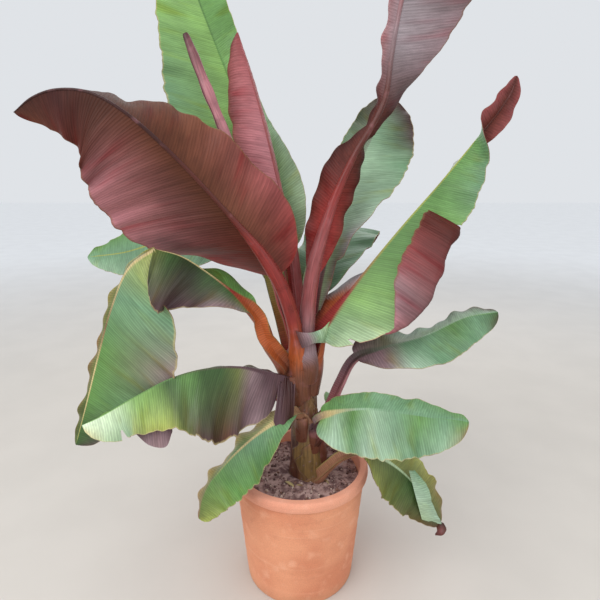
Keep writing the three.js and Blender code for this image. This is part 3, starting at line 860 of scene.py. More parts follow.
LEAVES: tuple[LeafPlan, ...] = (
    LeafPlan("leaf_left_front_tall", "leaf_wine",
        ((-4, -26, 790), (-22, -52, 905), (-53, -85, 1010), (-105, -120, 1110), (-195, -175, 1235),
         (-300, -220, 1360), (-400, -245, 1455), (-475, -250, 1497), (-555, -240, 1505),
         (-620, -225, 1490), (-675, -208, 1460)), 0.24,
        ((0.3, 1, 0), (0.2, 1, 0.1), (0.15, 1, 0.1), (0, 1, 0.1), (0, 1, 0.2)),
        Half(180, (40, 32, 22, 60, 90, 95), (0, 5, 15, 30, 30, 30), (1.05, 0.92, 0.72, 0.68, 0.88, 1, 1)),
        Half(270, (40, 12, 0, 0, 0), (0, 5, 0), (1.15, 1.1, 1, 0.85, 0.75, 0.7)), 0.4, 0.6, 21),
    LeafPlan("leaf_half_open", "leaf_rose",
        ((12, 24, 800), (-8, 46, 1000), (-28, 62, 1150), (-62, 75, 1290), (-115, 92, 1500),
         (-180, 115, 1720)), 0.3,
        ((-0.8, 0.6, 0), (-0.8, 0.6, 0)),
        Half(130, (20, 10, 10), (60, 130, 120), (0.6, 0.8, 1, 1, 1)),
        Half(130, (20, 10, 10), (60, 130, 120), (0.6, 0.8, 1, 1, 1)), 0.5, 0.7, 16),
    LeafPlan("leaf_spear", "leaf_rose",
        ((-10, 6, 800), (-110, 2, 1135), (-207, 4, 1420), (-263, 8, 1565), (-310, 15, 1690)), 1,
        ((0, -1, 0), (0, -1, 0)),
        Half(0, (0, 0), (0, 0)), Half(0, (0, 0), (0, 0)), 0.5, 1, 18, 0.7),
    LeafPlan("leaf_back_left_tall", "leaf_green",
        ((-6, 50, 785), (-35, 118, 1040), (-78, 178, 1245), (-152, 235, 1440), (-230, 288, 1625),
         (-320, 345, 1845), (-375, 440, 1970), (-415, 560, 1995)), 0.22,
        ((0.3, -0.9, 0.2), (0.3, -0.9, 0.3), (0.3, -0.8, 0.5), (0.1, 0, 1)),
        Half(198, (40, 8, 4, 0), (0, 0, -10), (1, 1, 1.1, 1.2, 1.16, 1.05, 1, 1, 1)),
        Half(92, (40, 25, 25, 10), (0, 0, 0), (1.3, 1.25, 0.95, 0.62, 0.62, 0.85, 1.15, 1.25, 1.2)),
        0.42, 0.6, 20),
    LeafPlan("leaf_centre_tall", "leaf_wine",
        ((20, -20, 795), (23, -12, 920), (39, 4, 1045), (66, 20, 1145), (108, 36, 1265), (162, 50, 1380),
         (222, 60, 1480), (247, 62, 1540), (258, 64, 1640), (276, 72, 1760), (298, 58, 1868),
         (326, 12, 1968), (356, -62, 2045), (388, -150, 2090)), 0.17,
        ((0.5, 0.85, 0), (0.5, 0.85, 0), (0.4, 0.9, 0), (-0.2, 1, 0), (-0.2, 1, 0.1), (-0.2, 1, 0.3),
         (-0.2, 0.6, 0.9)),
        Half(245, (40, 50, 45, 20, 10, 5, 0), (0, 10, 20, 0, 0, 0, 0),
             (0.5, 0.42, 0.3, 0.04, 0.38, 0.75, 1.05, 1.05, 1)),
        Half(125, (20, 10, 20, 50, 60, 40, 20), (0, 0, 10, 60, 60, 40, 20),
             (1.1, 1, 0.75, 0.04, 0.3, 0.6, 1, 1.2, 1.2)),
        0.6, 0.55, 22),
    LeafPlan("leaf_back_right_tall", "leaf_green",
        ((34, 42, 790), (62, 105, 980), (122, 185, 1180), (200, 245, 1360), (303, 300, 1575)), 0.32,
        ((-0.3, -0.9, 0.2), (-0.2, -0.95, 0.2), (-0.1, -0.9, 0.4)),
        Half(110, (40, 10, 10), (0, 0, 0), (0.7, 0.7, 0.7, 0.8, 1)),
        Half(180, (40, 5, 5), (0, 0, 0), (0.5, 0.6, 0.75, 0.95, 1)), 0.5, 0.5, 18),
    LeafPlan("leaf_right_arching", "leaf_green",
        ((46, 0, 788), (68, 10, 850), (100, 22, 905), (165, 50, 985), (315, 100, 1160), (440, 130, 1300),
         (542, 142, 1425), (600, 142, 1500), (640, 148, 1565), (655, 150, 1612)), 0.04,
        ((-0.5, -0.6, 0.6), (-0.5, -0.6, 0.6), (-0.4, -0.8, 0.5), (-0.4, -0.8, 0.5), (-0.4, -0.8, 0.5),
         (-0.4, -0.8, 0.4), (-0.4, -0.8, 0.4), (-0.3, -0.9, 0.4), (-0.2, -0.9, 0.4), (-0.3, -0.9, 0.4),
         (-0.7, 0.7, 0.2), (-0.6, 0.8, 0.2), (-0.6, 0.8, 0.2)),
        Half(120, (30, -60, -90, -90, -60, -20), (0, 0, 0, 0),
             (1, 1, 1, 1, 1, 0.95, 0.85, 0.7, 0.4, 0.7, 0.8)),
        Half(180, (20, -10, -5, 0, 0), (0, 10, 20, 10, 0),
             (1.2, 1.1, 1.12, 1.18, 1.12, 1, 0.88, 0.7, 0.4, 0.5, 0.6)),
        0.33, 0.5, 20),
    LeafPlan("leaf_right_middle", "leaf_green",
        ((58, -10, 535), (94, -12, 600), (126, -10, 680), (172, 0, 762), (265, 0, 800), (390, 10, 835),
         (515, 20, 890), (620, 30, 905)), 0.36,
        ((-0.7, -0.4, 0.6), (-0.5, -0.6, 0.6), (-0.1, -0.7, 0.7), (0, -0.75, 0.65)),
        Half(90, (30, -50, -60, -30), (0, 0, 0)), Half(98, (30, 0, 0, 0), (0, 0, 0)), 0.5, 0.5, 17),
    LeafPlan("leaf_right_low", "leaf_green",
        ((46, -42, 560), (100, -110, 632), (185, -170, 675), (285, -220, 688), (375, -245, 685),
         (450, -255, 680)), 0.12,
        ((-0.4, -0.5, 0.7), (-0.1, -0.8, 0.6), (0, -0.75, 0.65), (0, -0.7, 0.7)),
        Half(40, (30, 10, 0, 0), (0, 0, 0)), Half(128, (30, -5, -5, 0), (0, 0, 0)), 0.45, 0.5, 16),
    LeafPlan("leaf_right_hanging", "leaf_olive",
        ((56, -56, 380), (88, -74, 425), (132, -94, 478), (200, -112, 505), (295, -110, 450),
         (380, -100, 355), (455, -90, 235)), 0.34,
        ((-0.5, -0.5, 0.6), (-0.2, -0.6, 0.8), (0.3, -0.7, 0.6), (0.6, -0.7, 0.3)),
        Half(95, (30, -10, -10, 0), (0, -10, -10, 0)), Half(95, (30, -20, -20, 0), (0, -10, -10, 0)),
        0.45, 0.6, 14),
    LeafPlan("leaf_left_low", "leaf_green",
        ((2, -40, 597), (-58, -110, 612), (-150, -165, 570), (-230, -205, 500), (-278, -222, 425),
         (-292, -228, 360)), 0.1,
        ((0, -0.5, 0.9), (-0.3, -0.7, 0.7), (-0.6, -0.7, 0.4)),
        Half(98, (20, -20, -20, 0), (0, -10, -10, 0), (0.2, 0.7, 1, 1, 1)),
        Half(38, (20, -40, -40, -20), (0, 0, 0)), 0.5, 0.4, 15),
    LeafPlan("leaf_left_middle", "leaf_green",
        ((-22, -34, 705), (-80, -80, 746), (-165, -130, 788), (-265, -175, 800), (-350, -205, 785),
         (-445, -225, 740), (-535, -240, 690)), 0.08,
        ((0, -0.9, 0.4), (0, -0.9, 0.4), (0, -0.9, 0.4), (-0.2, -0.9, 0.4)),
        Half(185, (0, 0, 0, 0), (0, 10, 20, 10), (1, 1, 1, 1, 0.95, 0.8, 0.82, 0.72, 0.65)),
        Half(80, (-80, -90, -90, -80), (0, -10, -10, 0), (0.05, 0.1, 0.35, 0.9, 1, 1, 1, 1, 1)),
        0.38, 0.4, 16),
    LeafPlan("leaf_left_arching", "leaf_green",
        ((-32, -22, 735), (-72, -34, 792), (-100, -45, 842), (-122, -54, 910), (-180, -80, 985),
         (-260, -120, 1065), (-320, -145, 1110), (-385, -158, 1130)), 0.42,
        ((-0.4, -0.3, 0.8), (-0.2, -0.6, 0.8), (-0.2, -0.6, 0.8)),
        Half(120, (30, -10, -10, 0), (0, -10, -20)), Half(110, (20, -65, -65), (0, 0, 0)), 0.75, 0.4, 20),
    LeafPlan("leaf_left_arching_end", "leaf_green",
        ((-384, -158, 1131), (-452, -164, 1082), (-510, -170, 965), (-555, -170, 840), (-605, -160, 700),
         (-660, -150, 550)), 0,
        ((-0.4, -0.6, 0.7), (-0.1, -0.9, 0.2), (0.1, -0.9, 0.1)),
        Half(228, (-10, 0, 0, 0), (-20, 0, 0), (0.9, 0.9, 1, 1, 1)),
        Half(60, (-20, -30, -30, -20), (0, 0, 0)), 0.48, 0.5, 14),
    LeafPlan("leaf_left_back", "leaf_green",
        ((-35, 30, 780), (-76, 60, 930), (-125, 90, 1055), (-280, 160, 1125), (-465, 220, 1105),
         (-620, 260, 1060), (-760, 280, 1040)), 0.3,
        ((-0.4, -0.4, 0.7), (0, -0.75, 0.65), (0, -0.85, 0.5), (0, -0.8, 0.6)),
        Half(115, (30, 0, -10, 0), (0, 0, 0)), Half(115, (30, 0, -10, 0), (0, 0, 0)), 0.45, 0.6, 16),
    LeafPlan("leaf_back_right_arching", "leaf_green",
        ((30, 48, 740), (60, 120, 900), (105, 230, 1050), (165, 380, 1130), (225, 540, 1110),
         (270, 670, 1010)), 0.25,
        ((-0.3, -0.7, 0.5), (-0.1, -0.4, 0.9), (0.1, 0, 1), (0.2, 0.4, 0.8)),
        Half(120, (30, 0, 0, 0), (0, -10, -10)), Half(120, (30, 0, 0, 0), (0, -10, -10)), 0.45, 0.6, 17),
    LeafPlan("leaf_back_left_low", "leaf_green",
        ((-13, 38, 520), (-100, 150, 580), (-210, 290, 540), (-290, 400, 440), (-340, 470, 330)), 0.2,
        ((0.3, -0.5, 0.8), (0, 0, 1), (-0.3, 0.4, 0.8), (-0.5, 0.6, 0.5)),
        Half(90, (30, 0, 0, 0), (0, -10, -10)), Half(90, (30, 0, 0, 0), (0, -10, -10)), 0.45, 0.6, 15),
    LeafPlan("leaf_back_right_low", "leaf_green",
        ((52, 42, 480), (118, 140, 530), (205, 250, 490), (300, 350, 400), (360, 425, 290)), 0.2,
        ((-0.3, -0.5, 0.8), (0, 0, 1), (0.3, 0.4, 0.8), (0.5, 0.6, 0.5)),
        Half(85, (30, 0, 0, 0), (0, -10, -10)), Half(85, (30, 0, 0, 0), (0, -10, -10)), 0.45, 0.6, 15),
    LeafPlan("leaf_back_middle", "leaf_green",
        ((-3, 52, 730), (-32, 130, 900), (-60, 250, 1020), (-85, 400, 1060), (-105, 560, 1000),
         (-120, 690, 880)), 0.25,
        ((0, -0.8, 0.5), (0, -0.4, 0.9), (0, 0, 1), (0, 0.5, 0.8)),
        Half(110, (30, 0, 0, 0), (0, -10, -10)), Half(110, (30, 0, 0, 0), (0, -10, -10)), 0.45, 0.6, 17),
)

DRESSES: dict[str, LeafDress] = {
    "leaf_left_front_tall": LeafDress(
        upper_left=pairs("IVY/WINE"), upper_right=pairs("IVY/WINE"),
        # The ROSE and PINK margin tints of the underside are painted sheen.
        under_left=pairs("WINE/RED BARK/ROSE RUST/BARK UMBER/RUST UMBER/RUST"),
        under_right=pairs("WINE/RED WINE/ROSE RUST/PINK RUST/PINK RUST/PINK UMBER/WINE CLARET/WINE"
            " UMBER/RUST"),
        stalk=tints("ORANGE RED RED RED WINE WINE CLARET CLARET CLARET CLARET"),
        channel=tints("RED ROSE WINE"), slim=0.4, ragged=0.012,
    ),
    "leaf_half_open": LeafDress(
        upper_left=pairs("ROSE/WINE"), upper_right=pairs("ROSE/WINE"),
        under_left=pairs("ROSE ROSE ROSE/WINE"), under_right=pairs("ROSE PINK/ROSE ROSE/WINE"),
        stalk=tints("RED ROSE ROSE ROSE"), channel=tints("ROSE ROSE"), ruffle=3, ragged=0.01,
    ),
    "leaf_spear": LeafDress(stalk=tints("RED ROSE")),
    "leaf_back_left_tall": LeafDress(
        upper_left=pairs("GREEN APPLE APPLE/SEA APPLE APPLE/SILVER"),
        upper_right=pairs("SILVER/SAGE APPLE/SILVER GREEN GREEN"), channel=tints("RED RED GREEN IVY"),
    ),
    "leaf_centre_tall": LeafDress(
        upper_left=pairs("SILVER/PLUM SEA/PLUM SEA/PLUM"), upper_right=pairs("SEA/PLUM"),
        under_left=pairs("RED RED/WINE WINE/CLARET WINE/CLARET LILAC/MAUVE LILAC/MAUVE LILAC/PLUM"
            " MAUVE/PLUM"),
        under_right=pairs("RED/ROSE RED/WINE WINE/CLARET WINE/CLARET MAUVE/ROSE MAUVE/ROSE MAUVE/PLUM"
            " MAUVE/PLUM"),
        # The MAUVE at the foot of the stalk, which also tints its sheath's top on the trunk, is partly its
        # own colour and partly painted highlight.
        stalk=tints("MAUVE ROSE ROSE RED WINE WINE MAUVE ROSE MAUVE PLUM"), channel=tints("RED ROSE ROSE"),
    ),
    "leaf_back_right_tall": LeafDress(
        upper_left=pairs("SAGE/SILVER SILVER/SEA PLUM/CLARET"),
        upper_right=pairs("SAGE/MAUVE SILVER/LILAC SILVER/MIST SILVER SILVER/SEA SEA/PLUM PLUM/CLARET"),
        channel=tints("RED MAUVE SILVER PLUM"), ruffle=9, ragged=0.03, skirt=42,
    ),
    "leaf_right_arching": LeafDress(
        upper_left=pairs("RED/CLARET ORANGE/CLARET MAUVE/PLUM MAUVE APPLE/MAUVE GREEN/PLUM GREEN/PLUM"
            " GREEN"),
        upper_right=pairs("SILVER/SAGE APPLE/SAGE GREEN/APPLE GREEN/APPLE GREEN/SEA GREEN/SEA GREEN"),
        under_left=pairs("WINE WINE/RUST WINE/ROSE"),
        # Where the flap rolls over, the ROSE, PINK and MAUVE margin tints are partly its own colour and
        # partly painted sheen.
        under_right=pairs("WINE/ROSE WINE/PINK WINE/MAUVE CLARET/ROSE CLARET/WINE WINE WINE WINE/ROSE"
            " WINE/ROSE"),
        channel=tints("RED RED LIME LIME LIME LIME"), ruffle=8, ragged=0.03,
        reach_left=(0.3, 0.3, 0.5, 0.95, 1.1, 1, 1, 1, 1, 1, 1, 1, 1, 1, 1, 1, 1),
        reach_right=(1, 1.04, 1.06, 1.05, 1, 0.91, 0.86, 0.83, 0.84, 0.88, 0.93, 0.97, 1, 1, 1, 1, 1),
        flaps=(Flap(left=False, start=0.09, end=0.47, width=152,
                    shape=(0, 0.5, 0.9, 1.02, 1.02, 0.98, 1, 0.94, 1)),),
        tears=(Tear(left=False, at=0.47, depth=0.6, gap=14, drop=16),
               Tear(left=False, at=0.045, depth=0.25, gap=9, drop=6)),
    ),
    "leaf_right_middle": LeafDress(
        upper_left=pairs("MAUVE/PLUM GREEN/SEA SEA/PLUM"),
        upper_right=pairs("MAUVE/PLUM MAUVE SEA/MIST SEA GREEN/SEA SEA IVY/CLARET"),
        channel=tints("ROSE PLUM SILVER GREEN"), stalk=tints("ROSE PINK PLUM WINE WINE"),
    ),
    "leaf_right_low": LeafDress(
        upper_left=pairs("GREEN SEA SEA/GREEN"),
        upper_right=pairs("APPLE/SEA SILVER/MIST GREEN/SEA SILVER/MIST SEA/SILVER GREEN/SEA SEA/SILVER"
            " GREEN/DRY"),
        channel=tints("MAUVE STRAW SILVER SEA SEA GREEN"), stalk=tints("PLUM PLUM WINE WINE"), stout=0.8,
        slim=0.4, ruffle=11, ragged=0.04,
    ),
    "leaf_right_hanging": LeafDress(
        upper_left=pairs("LIME OLIVE/LIME OLIVE/DRY"), upper_right=pairs("OLIVE/LIME IVY/OLIVE IVY/RUST"),
        channel=tints("TAN TAN SAGE SAGE DRY"), stalk=tints("TAN TAN TAN RUST WINE"), stout=1.15, ruffle=9,
        ragged=0.06,
    ),
    "leaf_left_low": LeafDress(
        upper_left=pairs("GREEN/SEA SEA/GREEN GREEN OLIVE/LIME"),
        upper_right=pairs("STRAW GREEN/STRAW DRY"), channel=tints("TAN STRAW STRAW GREEN DRY"),
        stalk=tints("TAN DRY WINE WINE"), ruffle=10, ragged=0.06,
    ),
    "leaf_left_middle": LeafDress(
        upper_left=pairs("PLUM PLUM/MAUVE MAUVE/PLUM OLIVE/PLUM IVY/RUST IVY/CLARET GREEN/PLUM IVY/OLIVE"
            " APPLE/LIME APPLE/LIME SAGE/SILVER MINT/SAGE MINT/STRAW"),
        upper_right=pairs("PLUM GREEN/APPLE"), channel=tints("PLUM PLUM GREEN APPLE"),
        under_left=pairs("PLUM/MAUVE"), under_right=pairs("PLUM/MAUVE"),
        stalk=tints("PLUM PLUM PLUM WINE"), ruffle=10, ragged=0.04,
        tears=(Tear(left=True, at=0.84, depth=0.35, gap=20, drop=10),),
        reach_left=(1, 1, 1, 1.02, 1.06, 1.08, 1.06, 0.98, 0.88, 0.84, 0.9, 0.98, 1),
        tip=((-584, -250, 668),),
    ),
    "leaf_left_arching": LeafDress(
        # The dark PLUM and FOREST margin tints towards the tip are painted shade.
        upper_left=pairs("OLIVE OLIVE/LILAC IVY/MAUVE IVY/MAUVE IVY/PLUM FOREST/PLUM FOREST/PLUM IVY/PLUM"
            " OLIVE/FOREST"),
        upper_right=pairs("GREEN"), under_left=pairs("PLUM/MAUVE"), under_right=pairs("MAUVE/PLUM"),
        channel=tints("BARK ORANGE ORANGE ORANGE RED STRAW STRAW STRAW"),
        stalk=tints("BARK ORANGE ORANGE RED RED WINE"), ruffle=10, stout=1.3,
        reach_left=(1, 1, 1, 1, 1.04, 1.08, 1.14, 1.22, 1.4, 1.6, 1.8),
    ),
    "leaf_left_arching_end": LeafDress(
        upper_left=pairs("LIME SEA GREEN/MAUVE GREEN/SEA IVY/PLUM"),
        upper_right=pairs("OLIVE/LIME OLIVE/DRY IVY/OLIVE"),
        channel=tints("STRAW STRAW DRY STRAW STRAW LIME"), stalk=tints("STRAW STRAW OLIVE WINE"),
        stout=0.5, slim=0.45, reach_left=(0.1, 1, 1, 1, 0.95, 0.85, 0.68, 0.6, 0.7),
        reach_right=(0.6, 0.3, 0.22, 0.22, 0.35),
    ),
    "leaf_left_back": LeafDress(
        upper_left=pairs("SEA SEA/SILVER"), upper_right=pairs("SEA/GREEN"), ragged=0.05,
    ),
    "leaf_back_right_arching": LeafDress(upper_left=pairs("SEA"), upper_right=pairs("SEA")),
}


# Leaf building, with counts of points, lengths in millimetres, and shares of leaf, blade or width


SPAN_STEPS = 60
RIB_COLUMNS = 3
BLADE_COLUMNS = 17
FOLD_COLUMNS = 7
FLAP_COLUMNS = 10
STALK_ROWS = 20
BLADE_ROWS = 150
TAIL_ROWS = 22
SLANT_ROUNDS = 5
STALK_WING = 4.0
WING_FADE = 0.03
TIP_FADE = 0.05
TIP_LEAST = 0.05
SLIM_RUN = 0.35
SKIRT_START = 0.25
SKIRT_RISE = 0.5
SKIRT_END = 0.16
CALM_BASE = 0.1
CALM_TIP = 0.06
MIDDLE_WIDTH = 0.45
MIDDLE_BASE = 0.5
MIDDLE_RUN = 0.25
TONE_GROWTH = 1.3
BLADE_THICKNESS = 1.6
VEIN_SLANT = 0.55
SLANT_START = 0.3
RUFFLE_GROWTH = 1.6
RUFFLE_LENGTHS = (190.0, 117.0, 74.0)
BROAD_LENGTHS = (260.0, 148.0)
BROAD_SHARE = 0.45
RAGGED_LENGTHS = (97.0, 57.0, 31.0)
FLAP_LENGTHS = (83.0, 37.0)
FLAP_WEAR = 0.02
FLAP_EASE = 0.06
FLAP_DROOP = 14.0
FLAP_START = 0.55
FLAP_BENT = 0.6
FLAP_LEAST = 4.0
PLEAT_LENGTHS = (31.0, 21.0)
PLEAT_HEIGHT = 0.5
NICKS = 12
NICK_SIZES = ((3.0, 9.0), (0.2, 1.0))
TEAR_ROWS = 9.0
TAIL_DROPS = (70.0, 150.0)
RIB_DEPTHS = (1.1, 0.42)
COLLAR_LENGTH = 70.0
COLLAR_SWELL = 0.4
TAIL_SWELL = 0.15
TAIL_STEPS = ((1.0, 1.0, -3.0), (0.5, 0.75, 4.0))
TAIL_CLEARANCE = 14.0
TAIL_TURN = 40.0
RIB_SINK = 0.4
RIB_LIP = 1.2
RIB_TOP_POINTS = 9
RIB_LOW_POINTS = 13
SPEAR_ROWS = 130
SPEAR_COLUMNS = 90
BAND_ROWS = 64
BAND_COLUMNS = 26


class Midrib:
    """A smooth curve through the places of a midrib, read by share of its length.

    Places before its foot have shares below 0.
    """

    def __init__(self, places: tuple[Place, ...], before: tuple[Place, ...] = ()) -> None:
        """Works the curve out once.

        Args:
            places: The places from foot to tip.
            before: Places that lead up to the foot.
        """
        points = np.array([*before, *places], float)
        knots = np.vstack([2 * points[0] - points[1], points, 2 * points[-1] - points[-2]])
        spans = [self._span(knots[k:k + 4]) for k in range(len(points) - 1)]
        self.points = np.vstack([*spans, points[-1:]])
        run = np.concatenate([[0.0], np.cumsum(np.linalg.norm(np.diff(self.points, axis=0), axis=1))])
        run -= run[len(before) * SPAN_STEPS]
        self.length = float(run[-1])
        self.shares = run / self.length
        self.directions = unit(np.gradient(self.points, run, axis=0))

    @staticmethod
    def _span(knots: np.ndarray) -> np.ndarray:
        """Gives the points of the span between the middle two of four knots."""
        before, here, after = np.linalg.norm(np.diff(knots, axis=0), axis=1) ** 0.5
        k0, k1, k2, k3 = knots
        start = ((k1 - k0) / before - (k2 - k0) / (before + here) + (k2 - k1) / here) * here
        end = ((k2 - k1) / here - (k3 - k1) / (here + after) + (k3 - k2) / after) * here
        t = np.linspace(0.0, 1.0, SPAN_STEPS, endpoint=False)[:, None]
        bend = 3 * (k2 - k1) - 2 * start - end
        return k1 + start * t + bend * t**2 + (2 * (k1 - k2) + start + end) * t**3

    def places(self, share: np.ndarray) -> np.ndarray:
        """Reads the places at shares of the length."""
        return np.stack([np.interp(share, self.shares, part) for part in self.points.T], axis=-1)

    def headings(self, share: np.ndarray) -> np.ndarray:
        """Reads the directions at shares of the length."""
        return unit(np.stack([np.interp(share, self.shares, part) for part in self.directions.T], axis=-1))


class Leaf:
    """Builds one leaf: an open sheet with thickness for the blade, and a closed rib and stalk."""

    def __init__(self, plan: LeafPlan, dress: LeafDress, trunk: "Trunk", seed: int) -> None:
        """Prepares the leaf.

        Args:
            plan: Its shape.
            dress: Its looks.
            trunk: The trunk that its foot runs down on.
            seed: Seed of its waves.
        """
        self.plan, self.dress, self.trunk, self.seed = plan, dress, trunk, seed
        self.rooted = plan.stalk > 0.0
        self.drop = random.Random(seed + 3).uniform(*TAIL_DROPS)
        self.midrib = Midrib((*plan.midrib, *dress.tip), self.tail_places() if self.rooted else ())
        self.length = self.midrib.length
        t = np.linspace(0.0, 1.0, BLADE_ROWS)
        blade = plan.stalk + (1.0 - plan.stalk) * (0.5 * t + 0.25 * (1.0 - np.cos(math.pi * t)))
        stalk = np.linspace(0.0, plan.stalk, STALK_ROWS, endpoint=False) if self.rooted else []
        self.rows = np.concatenate([stalk, blade])

    def tail_places(self) -> tuple[Place, ...]:
        """Gives two places on the trunk below the foot, the lower one first."""
        x, y, z = self.plan.midrib[0]
        angle = math.atan2(y, x - self.trunk.axis(z))
        start = math.hypot(x - self.trunk.axis(z), y)
        deep = self.plan.rib * self.dress.stout * RIB_DEPTHS[0]
        places = []
        for part, ease, proud in TAIL_STEPS:
            drop = part * self.drop
            height = max(z - drop, SOIL_TOP + TAIL_CLEARANCE - 0.1 * drop)
            outer = float(self.trunk.radius(np.array(height))) + proud - deep
            out = start + (outer - start) * ease
            places.append((self.trunk.axis(height) + out * math.cos(angle), out * math.sin(angle), height))
        return tuple(places)

    def blade_share(self, share: np.ndarray) -> np.ndarray:
        """Turns a share of the leaf into a share of the blade."""
        return np.clip((share - self.plan.stalk) / (1.0 - self.plan.stalk), 0.0, 1.0)

    def rib_width(self, share: np.ndarray) -> np.ndarray:
        """Gives the half width of stalk and rib."""
        fade = TIP_LEAST + (1.0 - TIP_LEAST) * eased((1.0 - share) / TIP_FADE)
        slimmer = eased(self.blade_share(share) / SLIM_RUN)
        slim = self.dress.stout + (self.dress.slim - self.dress.stout) * slimmer
        return self.plan.rib * slim * (1.0 + (self.plan.taper - 1.0) * share) * fade

    def full_width(self, left: bool, share: np.ndarray, row: np.ndarray) -> np.ndarray:
        """Gives the width of a half from the middle of the rib to its margin.

        Args:
            left: Whether it is the left half.
            share: Share of the leaf.
            row: Where the side vein starts, as a share of the leaf.

        Returns:
            The width.
        """
        half = self.plan.left if left else self.plan.right
        blade = self.blade_share(share)
        power = math.log(0.5) / math.log(self.plan.fullest)
        outline = np.clip(np.sin(math.pi * blade**power), 0.0, 1.0) ** self.plan.blunt
        run = row * self.length
        worn = 0.5 + 0.5 * waves(run, RAGGED_LENGTHS, self.seed + 5) + self.nicks(run)
        for flap in self.flaps(left):
            worn = worn * (1.0 - self.rolled(flap, row))
        skirt = eased((share / max(self.plan.stalk, 0.01) - SKIRT_START) / SKIRT_RISE)
        skirt = skirt * (1.0 - eased(blade / SKIRT_END))
        wing = STALK_WING * eased((1.0 - share) / WING_FADE) + self.dress.skirt * skirt
        reach = at_steps(self.dress.reach_left if left else self.dress.reach_right, blade)
        reach = reach * half.width * at_steps(half.trim, blade) * outline
        return self.rib_width(share) + wing + reach * (1.0 - self.dress.ragged * worn)

    def flaps(self, left: bool) -> list[Flap]:
        """Lists the strips of a half that are rolled over."""
        return [flap for flap in self.dress.flaps if flap.left == left]

    def rolled(self, flap: Flap, row: np.ndarray) -> np.ndarray:
        """Gives 1 for rows whose outer strip is rolled over and 0 for those far from it."""
        along = (self.blade_share(row) - flap.start) / (flap.end - flap.start)
        return eased(np.minimum(along, 1.0 - along) / FLAP_EASE)

    def nicks(self, run: np.ndarray) -> np.ndarray:
        """Gives narrow notches at seeded places along the margin, each up to one deep."""
        chance = random.Random(self.seed + 9)
        total = np.zeros_like(run)
        for _ in range(NICKS):
            place, wide, deep = (chance.uniform(*ends) for ends in ((0.0, self.length), *NICK_SIZES))
            total += deep * np.clip(1.0 - np.abs(run - place) / wide, 0.0, 1.0)
        return total

    def frame(self, share: np.ndarray) -> tuple[np.ndarray, np.ndarray, np.ndarray]:
        """Gives the midrib's place and the directions up and right at shares of the leaf."""
        centre, forward = self.midrib.places(share), self.midrib.headings(share)
        up = np.stack([at_steps(part, share) for part in zip(*self.plan.upper)], axis=-1)
        if self.rooted:
            inward = -centre * np.array([1.0, 1.0, 0.0])
            inward[..., 0] += self.trunk.axis(centre[..., 2])
            below = eased(-share * self.length / TAIL_TURN)[..., None]
            up = unit(up) * (1.0 - below) + unit(inward) * below
        up = unit(up - forward * np.sum(up * forward, axis=-1, keepdims=True))
        return centre, up, np.cross(forward, up)

    def lay_out(self, left: bool) -> tuple[np.ndarray, np.ndarray, np.ndarray, np.ndarray]:
        """Lays the columns of a half out from the midrib to the margin, along the side veins.

        Args:
            left: Whether it is the left half.

        Returns:
            Share of the leaf, distance from the middle of the rib, turn of the sheet, and share of
            the way from rib to margin, each rows by columns.
        """
        half = self.plan.left if left else self.plan.right
        row = self.rows[:, None]
        start = self.blade_share(row)
        column = np.arange(RIB_COLUMNS + BLADE_COLUMNS + 1)[None, :]
        across_rib = np.minimum(column / RIB_COLUMNS, 1.0)
        across_blade = np.clip((column - RIB_COLUMNS) / BLADE_COLUMNS, 0.0, 1.0)
        slant = VEIN_SLANT * eased(start / SLANT_START) * (1.0 - start**2)
        share = np.repeat(row, column.size, axis=1)
        for _ in range(SLANT_ROUNDS):
            rib, full = self.rib_width(share), self.full_width(left, share, row)
            distance = rib * across_rib + (full - rib) * across_blade
            share = np.clip(row + slant * distance / self.length, 0.0, 1.0)
        blade = self.blade_share(share)
        fold, curl = (np.radians(at_steps(degrees, blade)) for degrees in (half.fold, half.curl))
        turn = fold + curl * distance / full
        out = np.clip((distance - rib) / np.maximum(full - rib, 1.0), 0.0, 1.0)
        return share, distance, turn, out

    def ruffles(self, left: bool, out: np.ndarray) -> np.ndarray:
        """Gives how far ruffles, broad waves and pleats stand off the smooth sheet.

        Args:
            left: Whether it is the left half.
            out: Share of the way from rib to margin.

        Returns:
            The heights, rows by columns.
        """
        row = self.rows[:, None]
        start, vein = self.blade_share(row), row * self.length
        seed = self.seed + (11 if left else 17)
        lift = self.dress.ruffle * out**RUFFLE_GROWTH * waves(vein, RUFFLE_LENGTHS, seed)
        broad = np.sin(math.pi * np.clip(out, 0.0, 1.0) / 1.3) * waves(vein, BROAD_LENGTHS, seed + 2)
        pleat = np.sin(math.pi * np.clip(out * 1.1, 0, 1)) * waves(vein, PLEAT_LENGTHS, seed + 1)
        lift += self.dress.ruffle * BROAD_SHARE * broad + PLEAT_HEIGHT * pleat
        return lift * (eased(start / CALM_BASE) * eased((1.0 - start) / CALM_TIP))

    def open_tear(self, tear: Tear, out: np.ndarray) -> tuple[np.ndarray, np.ndarray, np.ndarray]:
        """Opens a tear along the side vein that is nearest to its foot.

        Args:
            tear: The tear.
            out: Share of the way from rib to margin.

        Returns:
            How far each point moves along the leaf, how far it hangs down, and the faces between
            the tear's edges.
        """
        first = int(np.argmin(np.abs(self.blade_share(self.rows) - tear.at)))
        rows = np.arange(len(self.rows))[:, None]
        inside = np.clip((out - 1.0 + tear.depth) / tear.depth, 0.0, 1.0)
        near = inside * np.exp(-np.abs(rows - first - 0.5) / TEAR_ROWS)
        opening = np.where(rows > first, 0.5, -0.5) * tear.gap * near
        drop = np.where(rows > first, 1.0, -0.3) * tear.drop * near
        return opening, drop, (rows[:-1] == first) & (inside[:-1, :-1] > 0.0)

